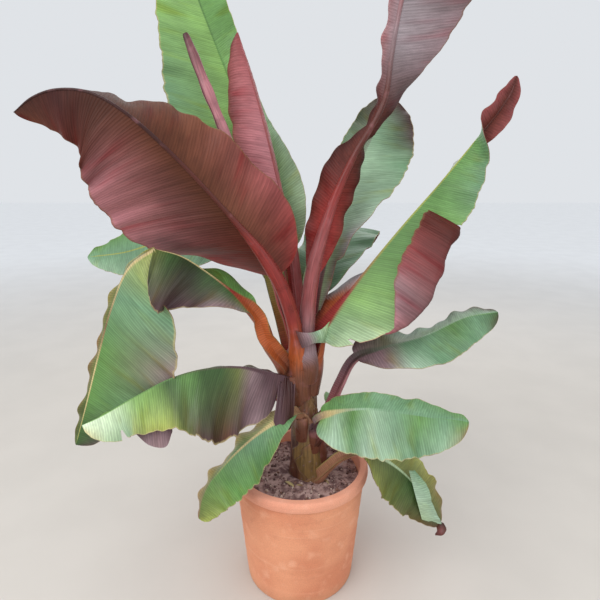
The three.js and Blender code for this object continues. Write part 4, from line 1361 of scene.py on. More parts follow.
    def half_sheet(self, left: bool) -> Layers:
        """Works out one half of the sheet from the midrib outward.

        Args:
            left: Whether it is the left half.

        Returns:
            Points, stored numbers and tints, each rows by columns, and the faces that a tear or
            the end of a flap takes out.
        """
        dress = self.dress
        share, distance, turn, out = self.lay_out(left)
        gone = np.zeros((share.shape[0] - 1, share.shape[1] - 1), bool)
        for flap in self.flaps(left):
            share, distance, turn, out, gone = self.add_flap(flap, share, distance, turn, out, gone)
        middle = (turn[:, 1:] + turn[:, :-1]) / 2.0
        steps = np.diff(distance, axis=1)
        across, rise = (np.pad(np.cumsum(steps * part, axis=1), ((0, 0), (1, 0)))
                        for part in (np.cos(middle), np.sin(middle)))
        lift = self.ruffles(left, out)
        points, up, right = self.frame(share)
        for tear in (tear for tear in dress.tears if tear.left == left):
            opening, drop, torn = self.open_tear(tear, out)
            points += self.midrib.headings(share) * opening[..., None]
            lift -= drop
            gone |= torn
        outward = (-1.0 if left else 1.0) * (across - np.sin(turn) * lift)
        upward = rise + np.cos(turn) * lift + BLADE_THICKNESS / 2
        points += right * outward[..., None] + up * upward[..., None]
        ribs = distance / self.rib_width(share)
        upper = dress.upper_left if left else dress.upper_right
        under = dress.under_left if left else dress.under_right
        vein = np.repeat(self.rows[:, None] * self.length * MM, share.shape[1], axis=1)
        return {"points": points, "gone": gone, "out": out, "vein": vein,
                "upper_tint": self.tinted(upper, dress.channel, share, out, ribs),
                "under_tint": self.tinted(under, dress.stalk, share, out, ribs)}

    def add_flap(self, flap: Flap, share: np.ndarray, distance: np.ndarray, turn: np.ndarray,
                 out: np.ndarray, gone: np.ndarray) -> tuple[np.ndarray, ...]:
        """Adds the columns of a strip that is rolled over beyond the margin.

        Args:
            flap: The strip.
            share: Share of the leaf at each point.
            distance: Distance of each point from the middle of the rib.
            turn: Turn of the sheet at each point.
            out: Share of the way from rib to margin.
            gone: Faces that are taken out.

        Returns:
            The same arrays with their new columns.
        """
        row = self.rows[:, None]
        start = self.blade_share(row)
        along = (start - flap.start) / (flap.end - flap.start)
        worn = 1.0 - FLAP_WEAR * waves(start * self.length, FLAP_LENGTHS, self.seed + 40)
        reach = np.where((along > 0.0) & (along <= 1.0), flap.width * at_steps(flap.shape, along) * worn, 0.0)
        over_turn = math.radians(flap.turn)
        arc = over_turn * flap.bend * np.minimum(1.0, reach / (3.0 * flap.bend))
        fold = np.arange(1, FOLD_COLUMNS + 1)[None, :] / FOLD_COLUMNS
        back = np.arange(1, FLAP_COLUMNS + 1)[None, :] / FLAP_COLUMNS
        new = FOLD_COLUMNS + FLAP_COLUMNS
        edge, lean = distance[:, -1:], turn[:, -1:]
        far = np.maximum(reach - arc, 0.0)
        distance = np.hstack([distance, edge + arc * fold, edge + arc + far * back])
        turn = np.hstack([turn, lean + over_turn * fold, lean + over_turn + math.radians(FLAP_DROOP) * back])
        share = np.hstack([share, np.repeat(share[:, -1:], new, axis=1)])
        out = out * (1.0 - (1.0 - FLAP_START) * self.rolled(flap, row))
        bent = FLAP_START + (FLAP_BENT - FLAP_START) * fold
        out = np.hstack([out, bent + 0.0 * edge, FLAP_BENT + (1.0 - FLAP_BENT) * back + 0.0 * edge])
        whole = (reach[1:] > FLAP_LEAST) & (reach[:-1] > FLAP_LEAST)
        return share, distance, turn, out, np.hstack([gone, np.repeat(~whole, new, axis=1)])

    def tinted(self, tones: tuple[TintPair, ...], middle: tuple[Tint, ...], share: np.ndarray,
               out: np.ndarray, ribs: np.ndarray) -> np.ndarray:
        """Mixes the tints of a face.

        Args:
            tones: Tints at rib and margin, at even steps along the blade.
            middle: Tints over the rib, at even steps along the leaf.
            share: Share of the leaf at each point.
            out: Share of the way from rib to margin.
            ribs: Distance from the middle in half widths of the rib.

        Returns:
            Light values at each point.
        """
        blade = self.blade_share(share)
        near, far = (tints_at(side, blade) for side in zip(*tones))
        wide = MIDDLE_WIDTH + MIDDLE_BASE * (1.0 - eased(blade / MIDDLE_RUN))
        over_rib = 1.0 - eased((ribs - wide) / 0.5)
        return blend(blend(near, far, out**TONE_GROWTH), tints_at(middle, share), over_rib)

    def make_sheet(self) -> Piece:
        """Makes the blade and the lining of the stalk as a sheet with thickness."""
        left, right = self.half_sheet(True), self.half_sheet(False)
        gone = np.concatenate([left.pop("gone")[:, ::-1], right["gone"]], axis=1)
        both = {key: np.concatenate([rows[:, :0:-1], right[key]], axis=1) for key, rows in left.items()}
        points = both.pop("points")
        piece = start_grid(self.plan.name + "_fine", points, both, *BLADE_FINISHES)
        if gone.any():
            drop_faces(piece, points.shape[1], gone)
        make_shell(piece, BLADE_THICKNESS)
        return piece

    @staticmethod
    def rib_section() -> tuple[np.ndarray, np.ndarray]:
        """Gives the rib's section as a closed row: places across from -1 to 1, and 1 where it is below."""
        top = np.linspace(-1.0, 1.0, RIB_TOP_POINTS)
        bottom = np.sin(np.linspace(math.pi / 2, -math.pi / 2, RIB_LOW_POINTS))[1:-1]
        below = np.repeat((0.0, 1.0, 0.0), (top.size, bottom.size, 1))
        return np.concatenate([top, bottom, top[:1]])[None, :], below[None, :]

    def make_rib(self) -> Piece:
        """Makes the stalk and the rib below the blade as a closed body."""
        t, below = self.rib_section()
        tail = np.linspace(self.midrib.shares[0], 0.0, TAIL_ROWS, endpoint=False) if self.rooted else []
        share = np.concatenate([tail, self.rows])[:, None]
        low = np.clip(share / min(self.midrib.shares[0], -1e-6), 0.0, 1.0)
        swell = 1.0 + COLLAR_SWELL * eased(1.0 - share * self.length / COLLAR_LENGTH) + TAIL_SWELL * low
        rib = self.rib_width(np.maximum(share, 0.0)) * swell
        blade = self.blade_share(share)
        fold = np.where(t < 0, at_steps(self.plan.left.fold, blade), at_steps(self.plan.right.fold, blade))
        fold = np.radians(fold) * (1.0 - low)
        deep = RIB_DEPTHS[0] + (RIB_DEPTHS[1] - RIB_DEPTHS[0]) * eased(blade / 0.5)
        deep = deep * rib * (1.0 - TAIL_SWELL * low)
        depth = RIB_SINK + below * (RIB_LIP + deep * np.sqrt(np.clip(1.0 - t * t, 0.0, 1.0)))
        lean = fold * np.clip(np.abs(t) * 1.6, 0.0, 1.0)
        across = np.sign(t) * (np.abs(t) * rib * np.cos(fold) + depth * np.sin(lean))
        rise = np.abs(t) * rib * np.sin(fold) - depth * np.cos(lean)
        centre, up, right = self.frame(np.repeat(share, t.size, axis=1))
        points = centre + right * across[..., None] + up * rise[..., None]
        tint = tints_at(self.dress.stalk, np.maximum(share, 0.0))
        tint = blend(tint, Tint.BARK, eased(-share * self.length / (0.55 * self.drop)))
        layers = {"out": (t + 1.0) / 2.0, "vein": share * self.length * MM,
                  "under_tint": tint, "upper_tint": tint}
        return make_body(self.plan.name + "_rib", points, layers, StalkFinish())

    def make(self) -> Piece:
        """Makes the whole leaf as one piece."""
        piece, rib = self.make_sheet(), self.make_rib()
        choose(piece)
        rib.select_set(True)
        bpy.ops.object.join()
        return smoothed(piece)


def tube(midrib: Midrib, share: np.ndarray, hint: Place, across: np.ndarray, out: np.ndarray) -> np.ndarray:
    """Lays rings round a curve.

    Args:
        midrib: The curve.
        share: Where the rings stand on it.
        hint: A direction that is square to the rings' side direction.
        across: How far each point stands to the side, rings by points.
        out: How far it stands to the front.

    Returns:
        The points.
    """
    forward = midrib.headings(share)[:, None, :]
    side = unit(np.cross(forward, np.array(hint)))
    front = np.cross(side, forward)
    return midrib.places(share)[:, None, :] + side * across[..., None] + front * out[..., None]


@dataclass(frozen=True)
class Spear:
    """The newest leaf, rolled into a closed spear.

    Attributes:
        plan: Its shape.
        rounds: How often the blade goes round.
        sheet: Distance between one layer and the next.
        thickness: Thickness of the blade.
        start: Angle at which the blade starts inside.
        twist: How far it turns from foot to tip.
        flat: Depth as a share of the width.
        seed: Seed of its waves.
    """

    plan: LeafPlan
    rounds: float = 1.45
    sheet: float = 1.7
    thickness: float = 1.1
    start: float = 2.4
    twist: float = 0.5
    flat: float = 0.8
    seed: int = 71

    def make(self) -> Piece:
        """Makes the spear as one rolled sheet with thickness."""
        midrib = Midrib(self.plan.midrib)
        share = np.linspace(0.0, 1.0, SPEAR_ROWS)[:, None]
        turn = np.linspace(0.0, 1.0, SPEAR_COLUMNS)[None, ::-1] * self.rounds * TURN
        width = self.plan.rib * (1.0 + (self.plan.taper - 1.0) * share)
        width = width * (0.35 + 0.65 * np.sqrt(np.clip((1.0 - share) / 0.06, 0.0, 1.0)))
        width = width + 1.2 * waves(share * midrib.length, (160.0, 90.0), self.seed)
        radius = width - 0.5 + self.sheet * turn / TURN
        angle = turn + self.start + self.twist * share
        across, out = radius * np.cos(angle), radius * np.sin(angle) * self.flat
        points = tube(midrib, share[:, 0], (0.0, 1.0, 0.0), across, out)
        rolled = turn / turn.max()
        tint = over(points, tints_at(tints("RED RED ROSE PINK PINK PINK CLARET"), share))
        tint = blend(tint, Tint.CLARET, eased((rolled - 0.94) / 0.06))
        layers = {"out": 1.0 - rolled, "vein": share * midrib.length * MM,
                  "upper_tint": tint, "under_tint": tint}
        piece = start_grid(self.plan.name + "_fine", points, layers, StalkFinish(), *BLADE_FINISHES[1:])
        make_shell(piece, self.thickness)
        return smoothed(piece)


@dataclass(frozen=True)
class Band:
    """A folded strip or a scrap of blade, as a sheet between two edges.

    Attributes:
        name: Name of the piece.
        lower: Places along its lower edge, from right to left as it is looked at.
        upper: Places along its upper edge.
        low: Tints along the lower edge, at even steps.
        high: Tints along the upper edge.
        bulge: How far its middle stands out.
        ripple: How far it waves.
        seed: Seed of its waves.
    """

    name: str
    lower: tuple[Place, ...]
    upper: tuple[Place, ...]
    low: tuple[Tint, ...]
    high: tuple[Tint, ...]
    bulge: float = 5.0
    ripple: float = 1.5
    seed: int = 90

    def make(self) -> Piece:
        """Makes the sheet."""
        low, high = Midrib(self.lower), Midrib(self.upper)
        share = np.linspace(0.0, 1.0, BAND_ROWS)[:, None]
        across = np.linspace(0.0, 1.0, BAND_COLUMNS)[None, :]
        start = low.places(share)
        reach = high.places(share) - start
        points = start + reach * across[..., None]
        face = unit(np.cross(over(points, reach), np.gradient(points, axis=0)))
        lift = self.bulge * np.sin(math.pi * across) * np.sin(math.pi * (0.1 + 0.8 * share))
        lift = lift + self.ripple * waves(share * low.length, (41.0, 23.0), self.seed) * across
        tint = blend(tints_at(self.low, share), tints_at(self.high, share), across)
        layers = {"vein": share * low.length * MM, "out": across * 0.9,
                  "upper_tint": tint, "under_tint": tint}
        piece = start_grid(self.name, points + face * lift[..., None], layers, *BLADE_FINISHES)
        make_shell(piece, BLADE_THICKNESS)
        return smoothed(piece)


BANDS = (
    Band("leaf_base_fold", ((100, 4, 812), (70, -34, 826), (42, -56, 832), (22, -64, 826), (6, -62, 818)),
         ((99, 12, 886), (66, -26, 868), (36, -48, 864), (10, -62, 868), (-14, -70, 876)),
         tints("SAGE SAGE SILVER MAUVE PLUM"), tints("APPLE SAGE SILVER MAUVE WINE")),
    Band("hanging_leaf_fold", ((385, -118, 267), (359, -128, 353), (333, -122, 445)),
         ((458, -96, 231), (421, -100, 310), (401, -102, 373), (352, -118, 443)),
         tints("SAGE MIST SILVER"), tints("MIST SILVER SEA"), bulge=7.0, seed=93),
    Band("left_leaf_lobe", ((-342, -256, 652), (-360, -264, 612), (-400, -270, 620), (-440, -258, 648)),
         ((-336, -236, 690), (-372, -236, 716), (-412, -234, 712), (-450, -230, 694)),
         tints("PLUM MAUVE MAUVE PLUM"), tints("PLUM PLUM PLUM DRY"), bulge=9.0, seed=96),
    Band("hanging_sheath",
         ((-20, -100, 604), (-32, -122, 582), (-46, -132, 602), (-62, -138, 586), (-78, -132, 616)),
         ((-16, -44, 716), (-26, -46, 722), (-40, -50, 724), (-64, -60, 726)),
         tints("UMBER CLARET PLUM PLUM"), tints("PLUM CLARET CLARET PLUM"), bulge=8.0, ripple=3.0, seed=99),
)


# Trunk, with lengths in millimetres


TRUNK_BOTTOM = 350.0
DOME_LEAST = 0.14
TRUNK_COLUMNS = 200
TRUNK_ROWS = 240
SHEATH_STEP = 1.5
SHEATH_EDGE = 2.2
SHEATH_SWELL = 3.0
SHEATH_START = 0.3
SHEATH_WRAP = 2.95
SHEATH_WANDER = 0.10
WANDER_LENGTHS = (71.0, 43.0)
SWELL_ANGLE = 0.42
SWELL_RUN = 90.0
SWELL_MOST = 6.0
SHEATH_SINK = 6.0
SHEATH_INSET = 2.0
TOP_MARGIN = 12.0
CALM_TOP = 40.0
EDGE_WIDTH = 3.2
# Width of the painted shade in the crease beside a sheath edge.
CREASE_SHADE_WIDTH = 3.0
FLUTE_LENGTHS = (210.0, 130.0)
FLUTE_HEIGHT = 0.7
SHEATH_RUNS = (190.0, 300.0)
FRESH_RUN = 75.0
SHEATH_TINTS = tints("BARK RUST BARK KHAKI PLUM UMBER")


def ring_angles(count: int) -> np.ndarray:
    """Gives the angles of a ring that ends on its first point, as one row."""
    return np.linspace(0.0, TURN, count + 1)[None, :]


def round_points(centre: np.ndarray | float, radius: np.ndarray, angle: np.ndarray,
                 height: np.ndarray) -> np.ndarray:
    """Gives points round an upright axis.

    Args:
        centre: Where the axis stands on X.
        radius: Distance from the axis.
        angle: Angle round from +X.
        height: Height above the ground.

    Returns:
        The points, with a last axis of three.
    """
    return np.stack([centre + radius * np.cos(angle), radius * np.sin(angle), height + 0.0 * angle], axis=-1)


@dataclass(frozen=True)
class Sheath:
    """The wrapped foot of one leaf on the trunk.

    Attributes:
        angle: Where its leaf leaves the trunk, round from +X.
        top: Height at which it leaves.
        run: How far below that it has closed round the trunk.
        tint: Its colour.
        foot: Colour at its top, where it runs into the stalk.
    """

    angle: float
    top: float
    run: float
    tint: Tint
    foot: Tint

    def half_angle(self, height: np.ndarray) -> np.ndarray:
        """Gives how far it reaches round each way at a height, or less than none above its top."""
        below = (self.top - height) / self.run
        wrapped = SHEATH_START + SHEATH_WRAP * np.clip(below, 0.0, 1.0) ** 0.8
        return np.where(below < 0.0, -1.0, wrapped)


@dataclass(frozen=True)
class Trunk:
    """The false trunk: a leaning column of sheaths that wrap round each other.

    Attributes:
        foot: Radius on the soil.
        waist: Least radius.
        crown: Radius where most leaves leave.
        waist_height: Height of the waist.
        crown_height: Height of the crown.
        top: Height of the domed top.
        side: How far the foot stands to the side.
        lean: How far the top leans from there.
        flare: How fast the foot spreads.
    """

    foot: float = 66.0
    waist: float = 42.0
    crown: float = 54.0
    waist_height: float = 640.0
    crown_height: float = 770.0
    top: float = 812.0
    side: float = 26.0
    lean: float = -20.0
    flare: float = 1.5

    def axis(self, height: np.ndarray | float) -> np.ndarray:
        """Gives how far to the side the middle stands at a height."""
        return self.side + self.lean * np.clip((height - SOIL_TOP) / (self.top - SOIL_TOP), 0.0, 1.0)

    def radius(self, height: np.ndarray) -> np.ndarray:
        """Gives the radius at a height."""
        low = np.clip((self.waist_height - height) / (self.waist_height - SOIL_TOP), 0.0, 1.0)
        high = np.clip((height - self.waist_height) / (self.crown_height - self.waist_height), 0.0, 1.0)
        dome = np.clip((height - self.crown_height) / (self.top - self.crown_height), 0.0, 1.0)
        lower = self.waist + (self.foot - self.waist) * low**self.flare
        upper = self.waist + (self.crown - self.waist) * high**2
        side = np.where(height < self.waist_height, lower, upper)
        return side * np.maximum(np.sqrt(1.0 - dome**2), DOME_LEAST)

    def sheaths(self, plans: tuple[LeafPlan, ...]) -> list[Sheath]:
        """Lists the sheaths of the leaves from the highest, innermost, to the lowest."""
        chance = random.Random(5)
        found = []
        for plan in plans:
            x, y, z = Midrib(plan.midrib).points.T
            clear = np.hypot(x - self.axis(z), y) > self.radius(z) - SHEATH_SINK
            outside = np.nonzero(clear | (z > self.top))[0]
            if plan.name.endswith("_end") or not len(outside):
                continue
            x, y, z = (float(part[outside[0]]) for part in (x, y, z))
            foot = DRESSES.get(plan.name, LeafDress()).stalk[0]
            found.append(Sheath(math.atan2(y, x - self.axis(z)), min(z, self.top - TOP_MARGIN),
                                chance.uniform(*SHEATH_RUNS), chance.choice(SHEATH_TINTS), foot))
        return sorted(found, key=lambda sheath: -sheath.top)

    def make(self, plans: tuple[LeafPlan, ...]) -> Piece:
        """Makes the trunk with the relief of its sheaths.

        Args:
            plans: The leaves whose sheaths wrap it.

        Returns:
            The trunk.
        """
        share = np.linspace(0.0, 1.0, TRUNK_ROWS)[:, None]
        dense_high = 0.6 * share + 0.4 * np.sin(share * math.pi / 2.0)
        height = TRUNK_BOTTOM + (self.top - TRUNK_BOTTOM) * dense_high
        angle = ring_angles(TRUNK_COLUMNS)
        base = self.radius(height)
        lift, swell, edge, crease_shade = (np.zeros((TRUNK_ROWS, TRUNK_COLUMNS + 1)) for _ in range(4))
        tint = np.tile(np.array(Tint.BARK.light()), (*lift.shape, 1))
        for index, sheath in enumerate(self.sheaths(plans)):
            away = np.abs((angle - sheath.angle + math.pi) % TURN - math.pi)
            wander = SHEATH_WANDER * waves(height, WANDER_LENGTHS, 80 + index)
            inside = np.where(height < sheath.top, (sheath.half_angle(height) + wander - away) * base, -50.0)
            cover = eased(inside / SHEATH_EDGE)
            lift += SHEATH_STEP * cover
            below = (sheath.top - height) / SWELL_RUN
            mound = np.exp(-((away / SWELL_ANGLE) ** 2))
            mound = mound * np.where(below > 0.0, np.exp(-below), np.exp(6.0 * below))
            swell += SHEATH_SWELL * mound
            edge = edge * (1.0 - cover) + np.exp(-((inside / EDGE_WIDTH) ** 2)) * (inside > 0.0)
            # Painted shade in the crease just outside each sheath edge, for the sheath finish to darken.
            hollow_shade = np.exp(-((inside / CREASE_SHADE_WIDTH) ** 2)) * (inside <= 0.0)
            crease_shade = crease_shade * (1.0 - cover) + hollow_shade
            fresh = eased(1.0 - (sheath.top - height) / FRESH_RUN)
            own = blend(np.array(sheath.tint.light()), sheath.foot, fresh)
            tint += (own - tint) * cover[..., None]
        lift += np.minimum(swell, SWELL_MOST) - np.mean(lift, axis=1, keepdims=True) - SHEATH_INSET
        lift *= np.clip((self.top - height) / CALM_TOP, 0.0, 1.0)
        around = angle * 9.0 + waves(height, FLUTE_LENGTHS, 3) * 1.5
        lift += FLUTE_HEIGHT * np.sin(around) * np.sin(angle * 2.0 + height / 60.0)
        points = round_points(self.axis(height), base + lift, angle, height)
        layers = {"edge": edge, "crease_shade": crease_shade, "tint": tint}
        return smoothed(make_body("trunk_sheaths", points, layers, SheathFinish()), 60.0)


# Pot and soil, with counts of points and lengths in millimetres


POT_SIDES = 192
POT_RING_LENGTHS = (23.0, 9.0, 41.0)
POT_RING_HEIGHT = 0.35
EDGE_STEPS = 6
WALL_STEPS = 46
RIM_STEPS = 22
INSIDE_STEPS = 24
SOIL_RINGS = 70
SOIL_SIDES = 180
LUMP_LENGTHS = (90.0, 47.0, 26.0, 15.0, 9.0)
CRUMBS = 900
CRUMB_SIZES = (1.5, 5.5)
CRUMB_GAPS = (4.0, 8.0)
CRUMB_STRETCH = (0.6, 1.25)
CRUMB_ROUGHNESS = 0.16
CRUMB_LIFT = 0.25
STUB_ROWS = 28
STUB_SIDES = 36
CRUMB_TINTS = (
    (92, 70, 66), (120, 92, 88), (146, 118, 112), (172, 146, 138), (204, 184, 170), (132, 100, 88),
)


def lumps(x: np.ndarray, y: np.ndarray, lengths: Steps, seed: int) -> np.ndarray:
    """Adds up waves in seeded directions over the ground.

    Args:
        x: Places across, in millimetres.
        y: Places along.
        lengths: Wave lengths, each used in four directions.
        seed: Seed of directions and starts.

    Returns:
        Heights of about the size of one for the longest wave.
    """
    chance = random.Random(seed)
    total = np.zeros_like(x)
    for length in np.repeat(lengths, 4):
        angle, start = chance.uniform(0.0, math.pi), chance.uniform(0.0, TURN)
        run = (x * math.cos(angle) + y * math.sin(angle)) * TURN / length
        total += np.sin(run + start) * length / (2.0 * lengths[0])
    return total


@dataclass(frozen=True)
class Pot:
    """A turned terracotta pot with a rolled rim.

    Attributes:
        height: Height of the pot.
        foot: Radius at the foot.
        rim: Greatest radius of the rim.
        wall: Thickness of the wall.
        floor: Thickness of the floor.
        rim_depth: Height of the rolled rim.
        rim_step: How far the rim stands out.
        ease: Rounding of the edges.
    """

    height: float = 400.0
    foot: float = 180.0
    rim: float = 225.0
    wall: float = 18.0
    floor: float = 25.0
    rim_depth: float = 34.0
    rim_step: float = 9.0
    ease: float = 5.0

    def outside(self, height: float) -> float:
        """Gives the outer radius of the wall at a height."""
        return self.foot + (self.rim - self.rim_step - self.foot) * height / self.height

    def profile(self) -> list[tuple[float, float]]:
        """Lists radius and height round the clay, from the foot up the outside and down the inside."""
        low, half = self.height - self.rim_depth, self.rim_depth / 2.0
        round_edge = [(self.ease * (1 - math.sin(a)), self.ease * (1 - math.cos(a)))
                      for a in np.linspace(0.0, math.pi / 2, EDGE_STEPS)]
        found = [(self.foot - out, rise) for out, rise in round_edge]
        found += [(self.outside(h), h) for h in np.linspace(12.0, low - 3.0, WALL_STEPS)]
        for turn in np.linspace(-math.pi / 2, math.pi / 2, RIM_STEPS):
            bulge = self.rim - self.rim_step + self.rim_step * math.cos(turn) ** 0.75
            found.append((bulge, low + half + half * math.sin(turn)))
        inner = self.outside(self.height) - self.wall
        found += [(inner + out, self.height - rise) for out, rise in round_edge]
        inside = np.linspace(self.height - 8.0, self.floor, INSIDE_STEPS)
        return found + [(self.outside(h) - self.wall, h) for h in inside]

    def make(self) -> Piece:
        """Makes the pot."""
        out, height = np.array(self.profile()).T[..., None]
        angle = ring_angles(POT_SIDES)
        ridge = waves(height + 3.0 * np.sin(angle), POT_RING_LENGTHS, 12) * eased(height / 30.0)
        oval = 1.0 + 0.0012 * np.sin(2.0 * angle + 0.7)
        radius = out * oval + POT_RING_HEIGHT * ridge - 0.5
        points = round_points(0.0, radius, angle, height)
        return smoothed(make_body("pot_clay", points, {}, TerracottaFinish()), 60.0)


@dataclass(frozen=True)
class Soil:
    """Potting soil with a lumpy top and loose crumbs on it.

    Attributes:
        top: Mean height of its surface.
        reach: Radius of its surface.
        depth: How deep the piece goes.
        relief: Height of the lumps.
        mound: Height, distance from the middle and width of the low ridge round the trunk.
        sag: Depth, start and width of the fall towards the wall.
    """

    top: float = SOIL_TOP
    reach: float = 194.5
    depth: float = 60.0
    relief: float = 3.5
    mound: Place = (5.0, 70.0, 35.0)
    sag: Place = (2.5, 120.0, 70.0)

    def surface(self, x: np.ndarray, y: np.ndarray) -> np.ndarray:
        """Gives the height of the soil at places on it."""
        out = np.hypot(x, y)
        ridge = self.mound[0] * np.exp(-(((out - self.mound[1]) / self.mound[2]) ** 2))
        fall = self.sag[0] * eased((out - self.sag[1]) / self.sag[2])
        return self.top + ridge - fall + self.relief * 0.42 * lumps(x, y, LUMP_LENGTHS, 21)

    def on_top(self, out: np.ndarray, angle: np.ndarray) -> np.ndarray:
        """Gives places on the soil at a distance from the middle and an angle."""
        x, y = out * np.cos(angle), out * np.sin(angle)
        return np.stack([x, y, self.surface(x, y)], axis=-1)

    def make(self) -> Piece:
        """Makes the body of the soil."""
        top = self.on_top(self.reach * np.linspace(1.0, 0.004, SOIL_RINGS)[:, None], ring_angles(SOIL_SIDES))
        side = top[:1] * np.array([0.97, 0.97, 0.0]) + np.array([0.0, 0.0, self.top - self.depth])
        return smoothed(make_body("soil_relief", np.concatenate([side, top]), {}, SoilFinish()), 70.0)

    def make_crumbs(self, trunk: Trunk) -> Piece:
        """Makes the loose crumbs as one piece.

        Args:
            trunk: The trunk, which the crumbs keep off.

        Returns:
            The crumbs.
        """
        choose(None)
        bpy.ops.mesh.primitive_ico_sphere_add(subdivisions=2, radius=1.0)
        pattern = bpy.context.active_object
        ball = np.array([corner.co for corner in pattern.data.vertices])
        faces = np.array([tuple(face.vertices) for face in pattern.data.polygons])
        bpy.data.objects.remove(pattern)
        chance = np.random.default_rng(33)
        nearest, farthest = trunk.foot + CRUMB_GAPS[0], self.reach - CRUMB_GAPS[1]
        out = np.sqrt(chance.uniform(nearest**2, farthest**2, CRUMBS))
        angle = chance.uniform(0.0, TURN, CRUMBS)
        size = CRUMB_SIZES[0] + (CRUMB_SIZES[1] - CRUMB_SIZES[0]) * chance.uniform(0.0, 1.0, CRUMBS) ** 3
        stretch = chance.uniform(*CRUMB_STRETCH, (CRUMBS, 1, 3))
        rough = 1.0 + chance.uniform(-CRUMB_ROUGHNESS, CRUMB_ROUGHNESS, (CRUMBS, len(ball), 1))
        middle = self.on_top(out, angle) + size[:, None] * np.array([0.0, 0.0, CRUMB_LIFT])
        points = ball[None] * stretch * rough * size[:, None, None] + middle[:, None, :]
        picks = chance.integers(0, len(CRUMB_TINTS), CRUMBS)
        shifts = (np.arange(CRUMBS) * len(ball))[:, None, None]
        mesh = bpy.data.meshes.new("soil_crumbs")
        triangles = (faces[None] + shifts).reshape(-1, 3)
        mesh.from_pydata((points.reshape(-1, 3) * MM).tolist(), [], triangles.tolist())
        piece = bpy.data.objects.new("soil_crumbs", mesh)
        bpy.context.scene.collection.objects.link(piece)
        lights = np.array([as_light(tint) for tint in CRUMB_TINTS])
        store(piece, "tint", np.repeat(lights[picks], len(ball), axis=0))
        mesh.materials.append(material_of(CrumbFinish()))
        return smoothed(piece, 80.0)


@dataclass(frozen=True)
class Stub:
    """A short cut stalk or a dry scrap, as a tube through places.

    Attributes:
        name: Name of the piece.
        places: Places along its middle.
        widths: Half widths at even steps.
        flat: Thickness as a share of the width.
        tints: Tints at even steps.
    """

    name: str
    places: tuple[Place, ...]
    widths: Steps
    flat: float
    tints: tuple[Tint, ...]

    def make(self) -> Piece:
        """Makes the tube."""
        midrib, angle = Midrib(self.places), ring_angles(STUB_SIDES)
        share = np.linspace(0.0, 1.0, STUB_ROWS)[:, None]
        width = at_steps(self.widths, share) * (1.0 + 0.07 * np.sin(5.0 * angle + 9.0 * share))
        points = tube(midrib, share[:, 0], (1e-6, 1e-6, 1.0 + 1e-6), width * np.cos(angle),
                      self.flat * width * np.sin(angle))
        layers = {"out": angle / TURN, "vein": share * midrib.length * MM,
                  "under_tint": tints_at(self.tints, share)}
        return smoothed(make_body(self.name, points, layers, StalkFinish()))


STUBS = (
    Stub("cut_stub", ((44, -30, 470), (58, -40, 500), (66, -46, 528)), (20.0, 17.0, 15.0), 0.75,
         tints("BARK UMBER WINE")),
    Stub("tip_scrap", ((456, -92, 236), (453, -97, 221), (447, -99, 207), (443, -96, 198)),
         (7.0, 19.0, 22.0, 12.0), 0.25, tints("CLARET RUST WINE")),
    Stub("dry_scrap_left", ((-46, -64, 366), (-40, -74, 372), (-28, -84, 371), (-18, -92, 368)),
         (2.5, 5.0, 6.0, 2.0), 0.35, tints("STRAW STRAW")),
    Stub("dry_scrap_front", ((-10, -84, 368), (0, -88, 371), (9, -92, 369)), (2.0, 4.0, 1.6), 0.4,
         tints("STRAW DRY")),
    Stub("dry_scrap_right", ((70, -52, 367), (84, -64, 370), (92, -78, 368)), (1.8, 3.6, 1.2), 0.4,
         tints("DRY STRAW")),
)


# Studio


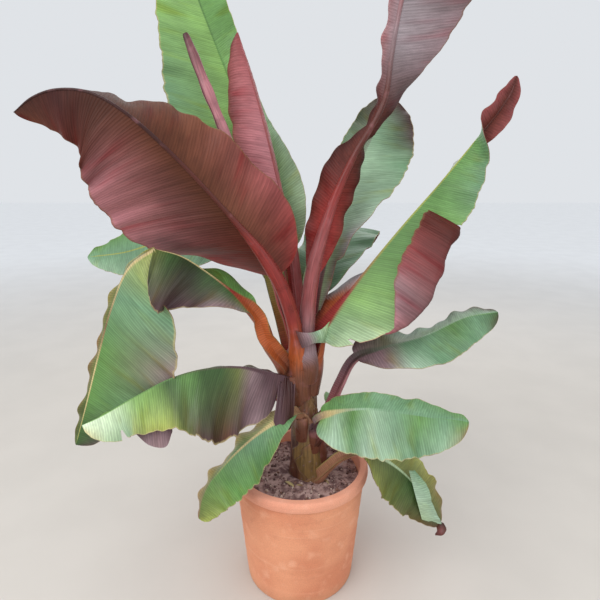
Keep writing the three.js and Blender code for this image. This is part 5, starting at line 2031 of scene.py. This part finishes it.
@dataclass(frozen=True)
class Studio:
    """The camera of the photograph, soft light and a plain pale floor.

    Attributes:
        camera: Where the camera stands, in metres.
        pitch: How far it looks down, in degrees.
        lens: Its focal length for the film.
        film: Width of the film, in millimetres.
        floor: Half the side of the floor, in metres.
        sky: Colour of the overcast sky, as light.
        sky_strength: Its strength.
        aim: Where the lights look, in metres.
        lights: Name, place in metres, side of its square and power in watts of each light.
    """

    camera: Place = (0.0, -1.396, 1.30)
    pitch: float = 14.0
    lens: float = 28.32
    film: float = 36.0
    floor: float = 30.0
    sky: Place = (0.93, 0.96, 1.0)
    sky_strength: float = 0.8
    aim: Place = (0.0, 0.0, 0.9)
    lights: tuple[tuple[str, Place, float, float], ...] = (
        ("key", (-1.9, -2.3, 3.3), 3.2, 92.0),
        ("fill", (2.6, -1.6, 2.2), 3.0, 18.0),
        ("back", (0.6, 2.8, 3.0), 3.0, 34.0),
    )

    def make(self) -> None:
        """Sets up camera, floor, world and lights."""
        choose(None)
        bpy.ops.object.camera_add(location=self.camera, rotation=(math.radians(90.0 - self.pitch), 0.0, 0.0))
        camera = bpy.context.active_object
        camera.data.lens = self.lens
        camera.data.sensor_width = self.film
        bpy.context.scene.camera = camera
        bpy.context.scene.view_settings.view_transform = "Standard"
        bpy.ops.mesh.primitive_plane_add(size=2.0 * self.floor)
        floor = bpy.context.active_object
        floor.name = "studio_floor"
        floor.data.materials.append(material_of(FloorFinish()))
        floor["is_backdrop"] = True
        world = bpy.data.worlds.new("overcast")
        world.use_nodes = True
        back = world.node_tree.nodes["Background"]
        back.inputs["Color"].default_value = (*self.sky, 1.0)
        back.inputs["Strength"].default_value = self.sky_strength
        bpy.context.scene.world = world
        for light in self.lights:
            self.add_light(*light)

    def add_light(self, name: str, place: Place, size: float, power: float) -> None:
        """Adds a soft light that looks at the plant.

        Args:
            name: Name of the light.
            place: Where it stands, in metres.
            size: Side of its square, in metres.
            power: Power in watts.
        """
        bpy.ops.object.light_add(type="AREA", location=place)
        light = bpy.context.active_object
        light.name = name
        light.data.shape = "SQUARE"
        light.data.size = size
        light.data.energy = power
        x, y, z = np.array(self.aim) - np.array(place)
        rise = math.atan2(z, math.hypot(x, y))
        light.rotation_euler = (math.pi / 2 + rise, 0.0, math.atan2(y, x) - math.pi / 2)


def corners() -> list[list[float]]:
    """Gives the lowest and highest corner of what shows, in metres."""
    return [[round(part, 5) for part in corner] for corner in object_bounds()]


def main() -> None:
    """Builds the plant on its frame and sets the studio round it."""
    logging.basicConfig(level=logging.INFO, format="%(message)s")
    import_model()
    trunk = Trunk()
    for index, plan in enumerate(LEAVES):
        if plan.name == SPEAR_NAME:
            piece = Spear(plan).make()
        else:
            piece = Leaf(plan, DRESSES.get(plan.name, LeafDress()), trunk, 100 + 7 * index).make()
        seat(piece, (plan.name,))
    seat(trunk.make(LEAVES), ("trunk",))
    for stub in STUBS:
        seat(stub.make(), ())
    for band in BANDS:
        seat(band.make(), ())
    soil = Soil()
    seat(soil.make(), ("soil",))
    seat(soil.make_crumbs(trunk), ())
    seat(Pot().make(), ("pot",))
    Studio().make()


if __name__ == "__main__":
    main()
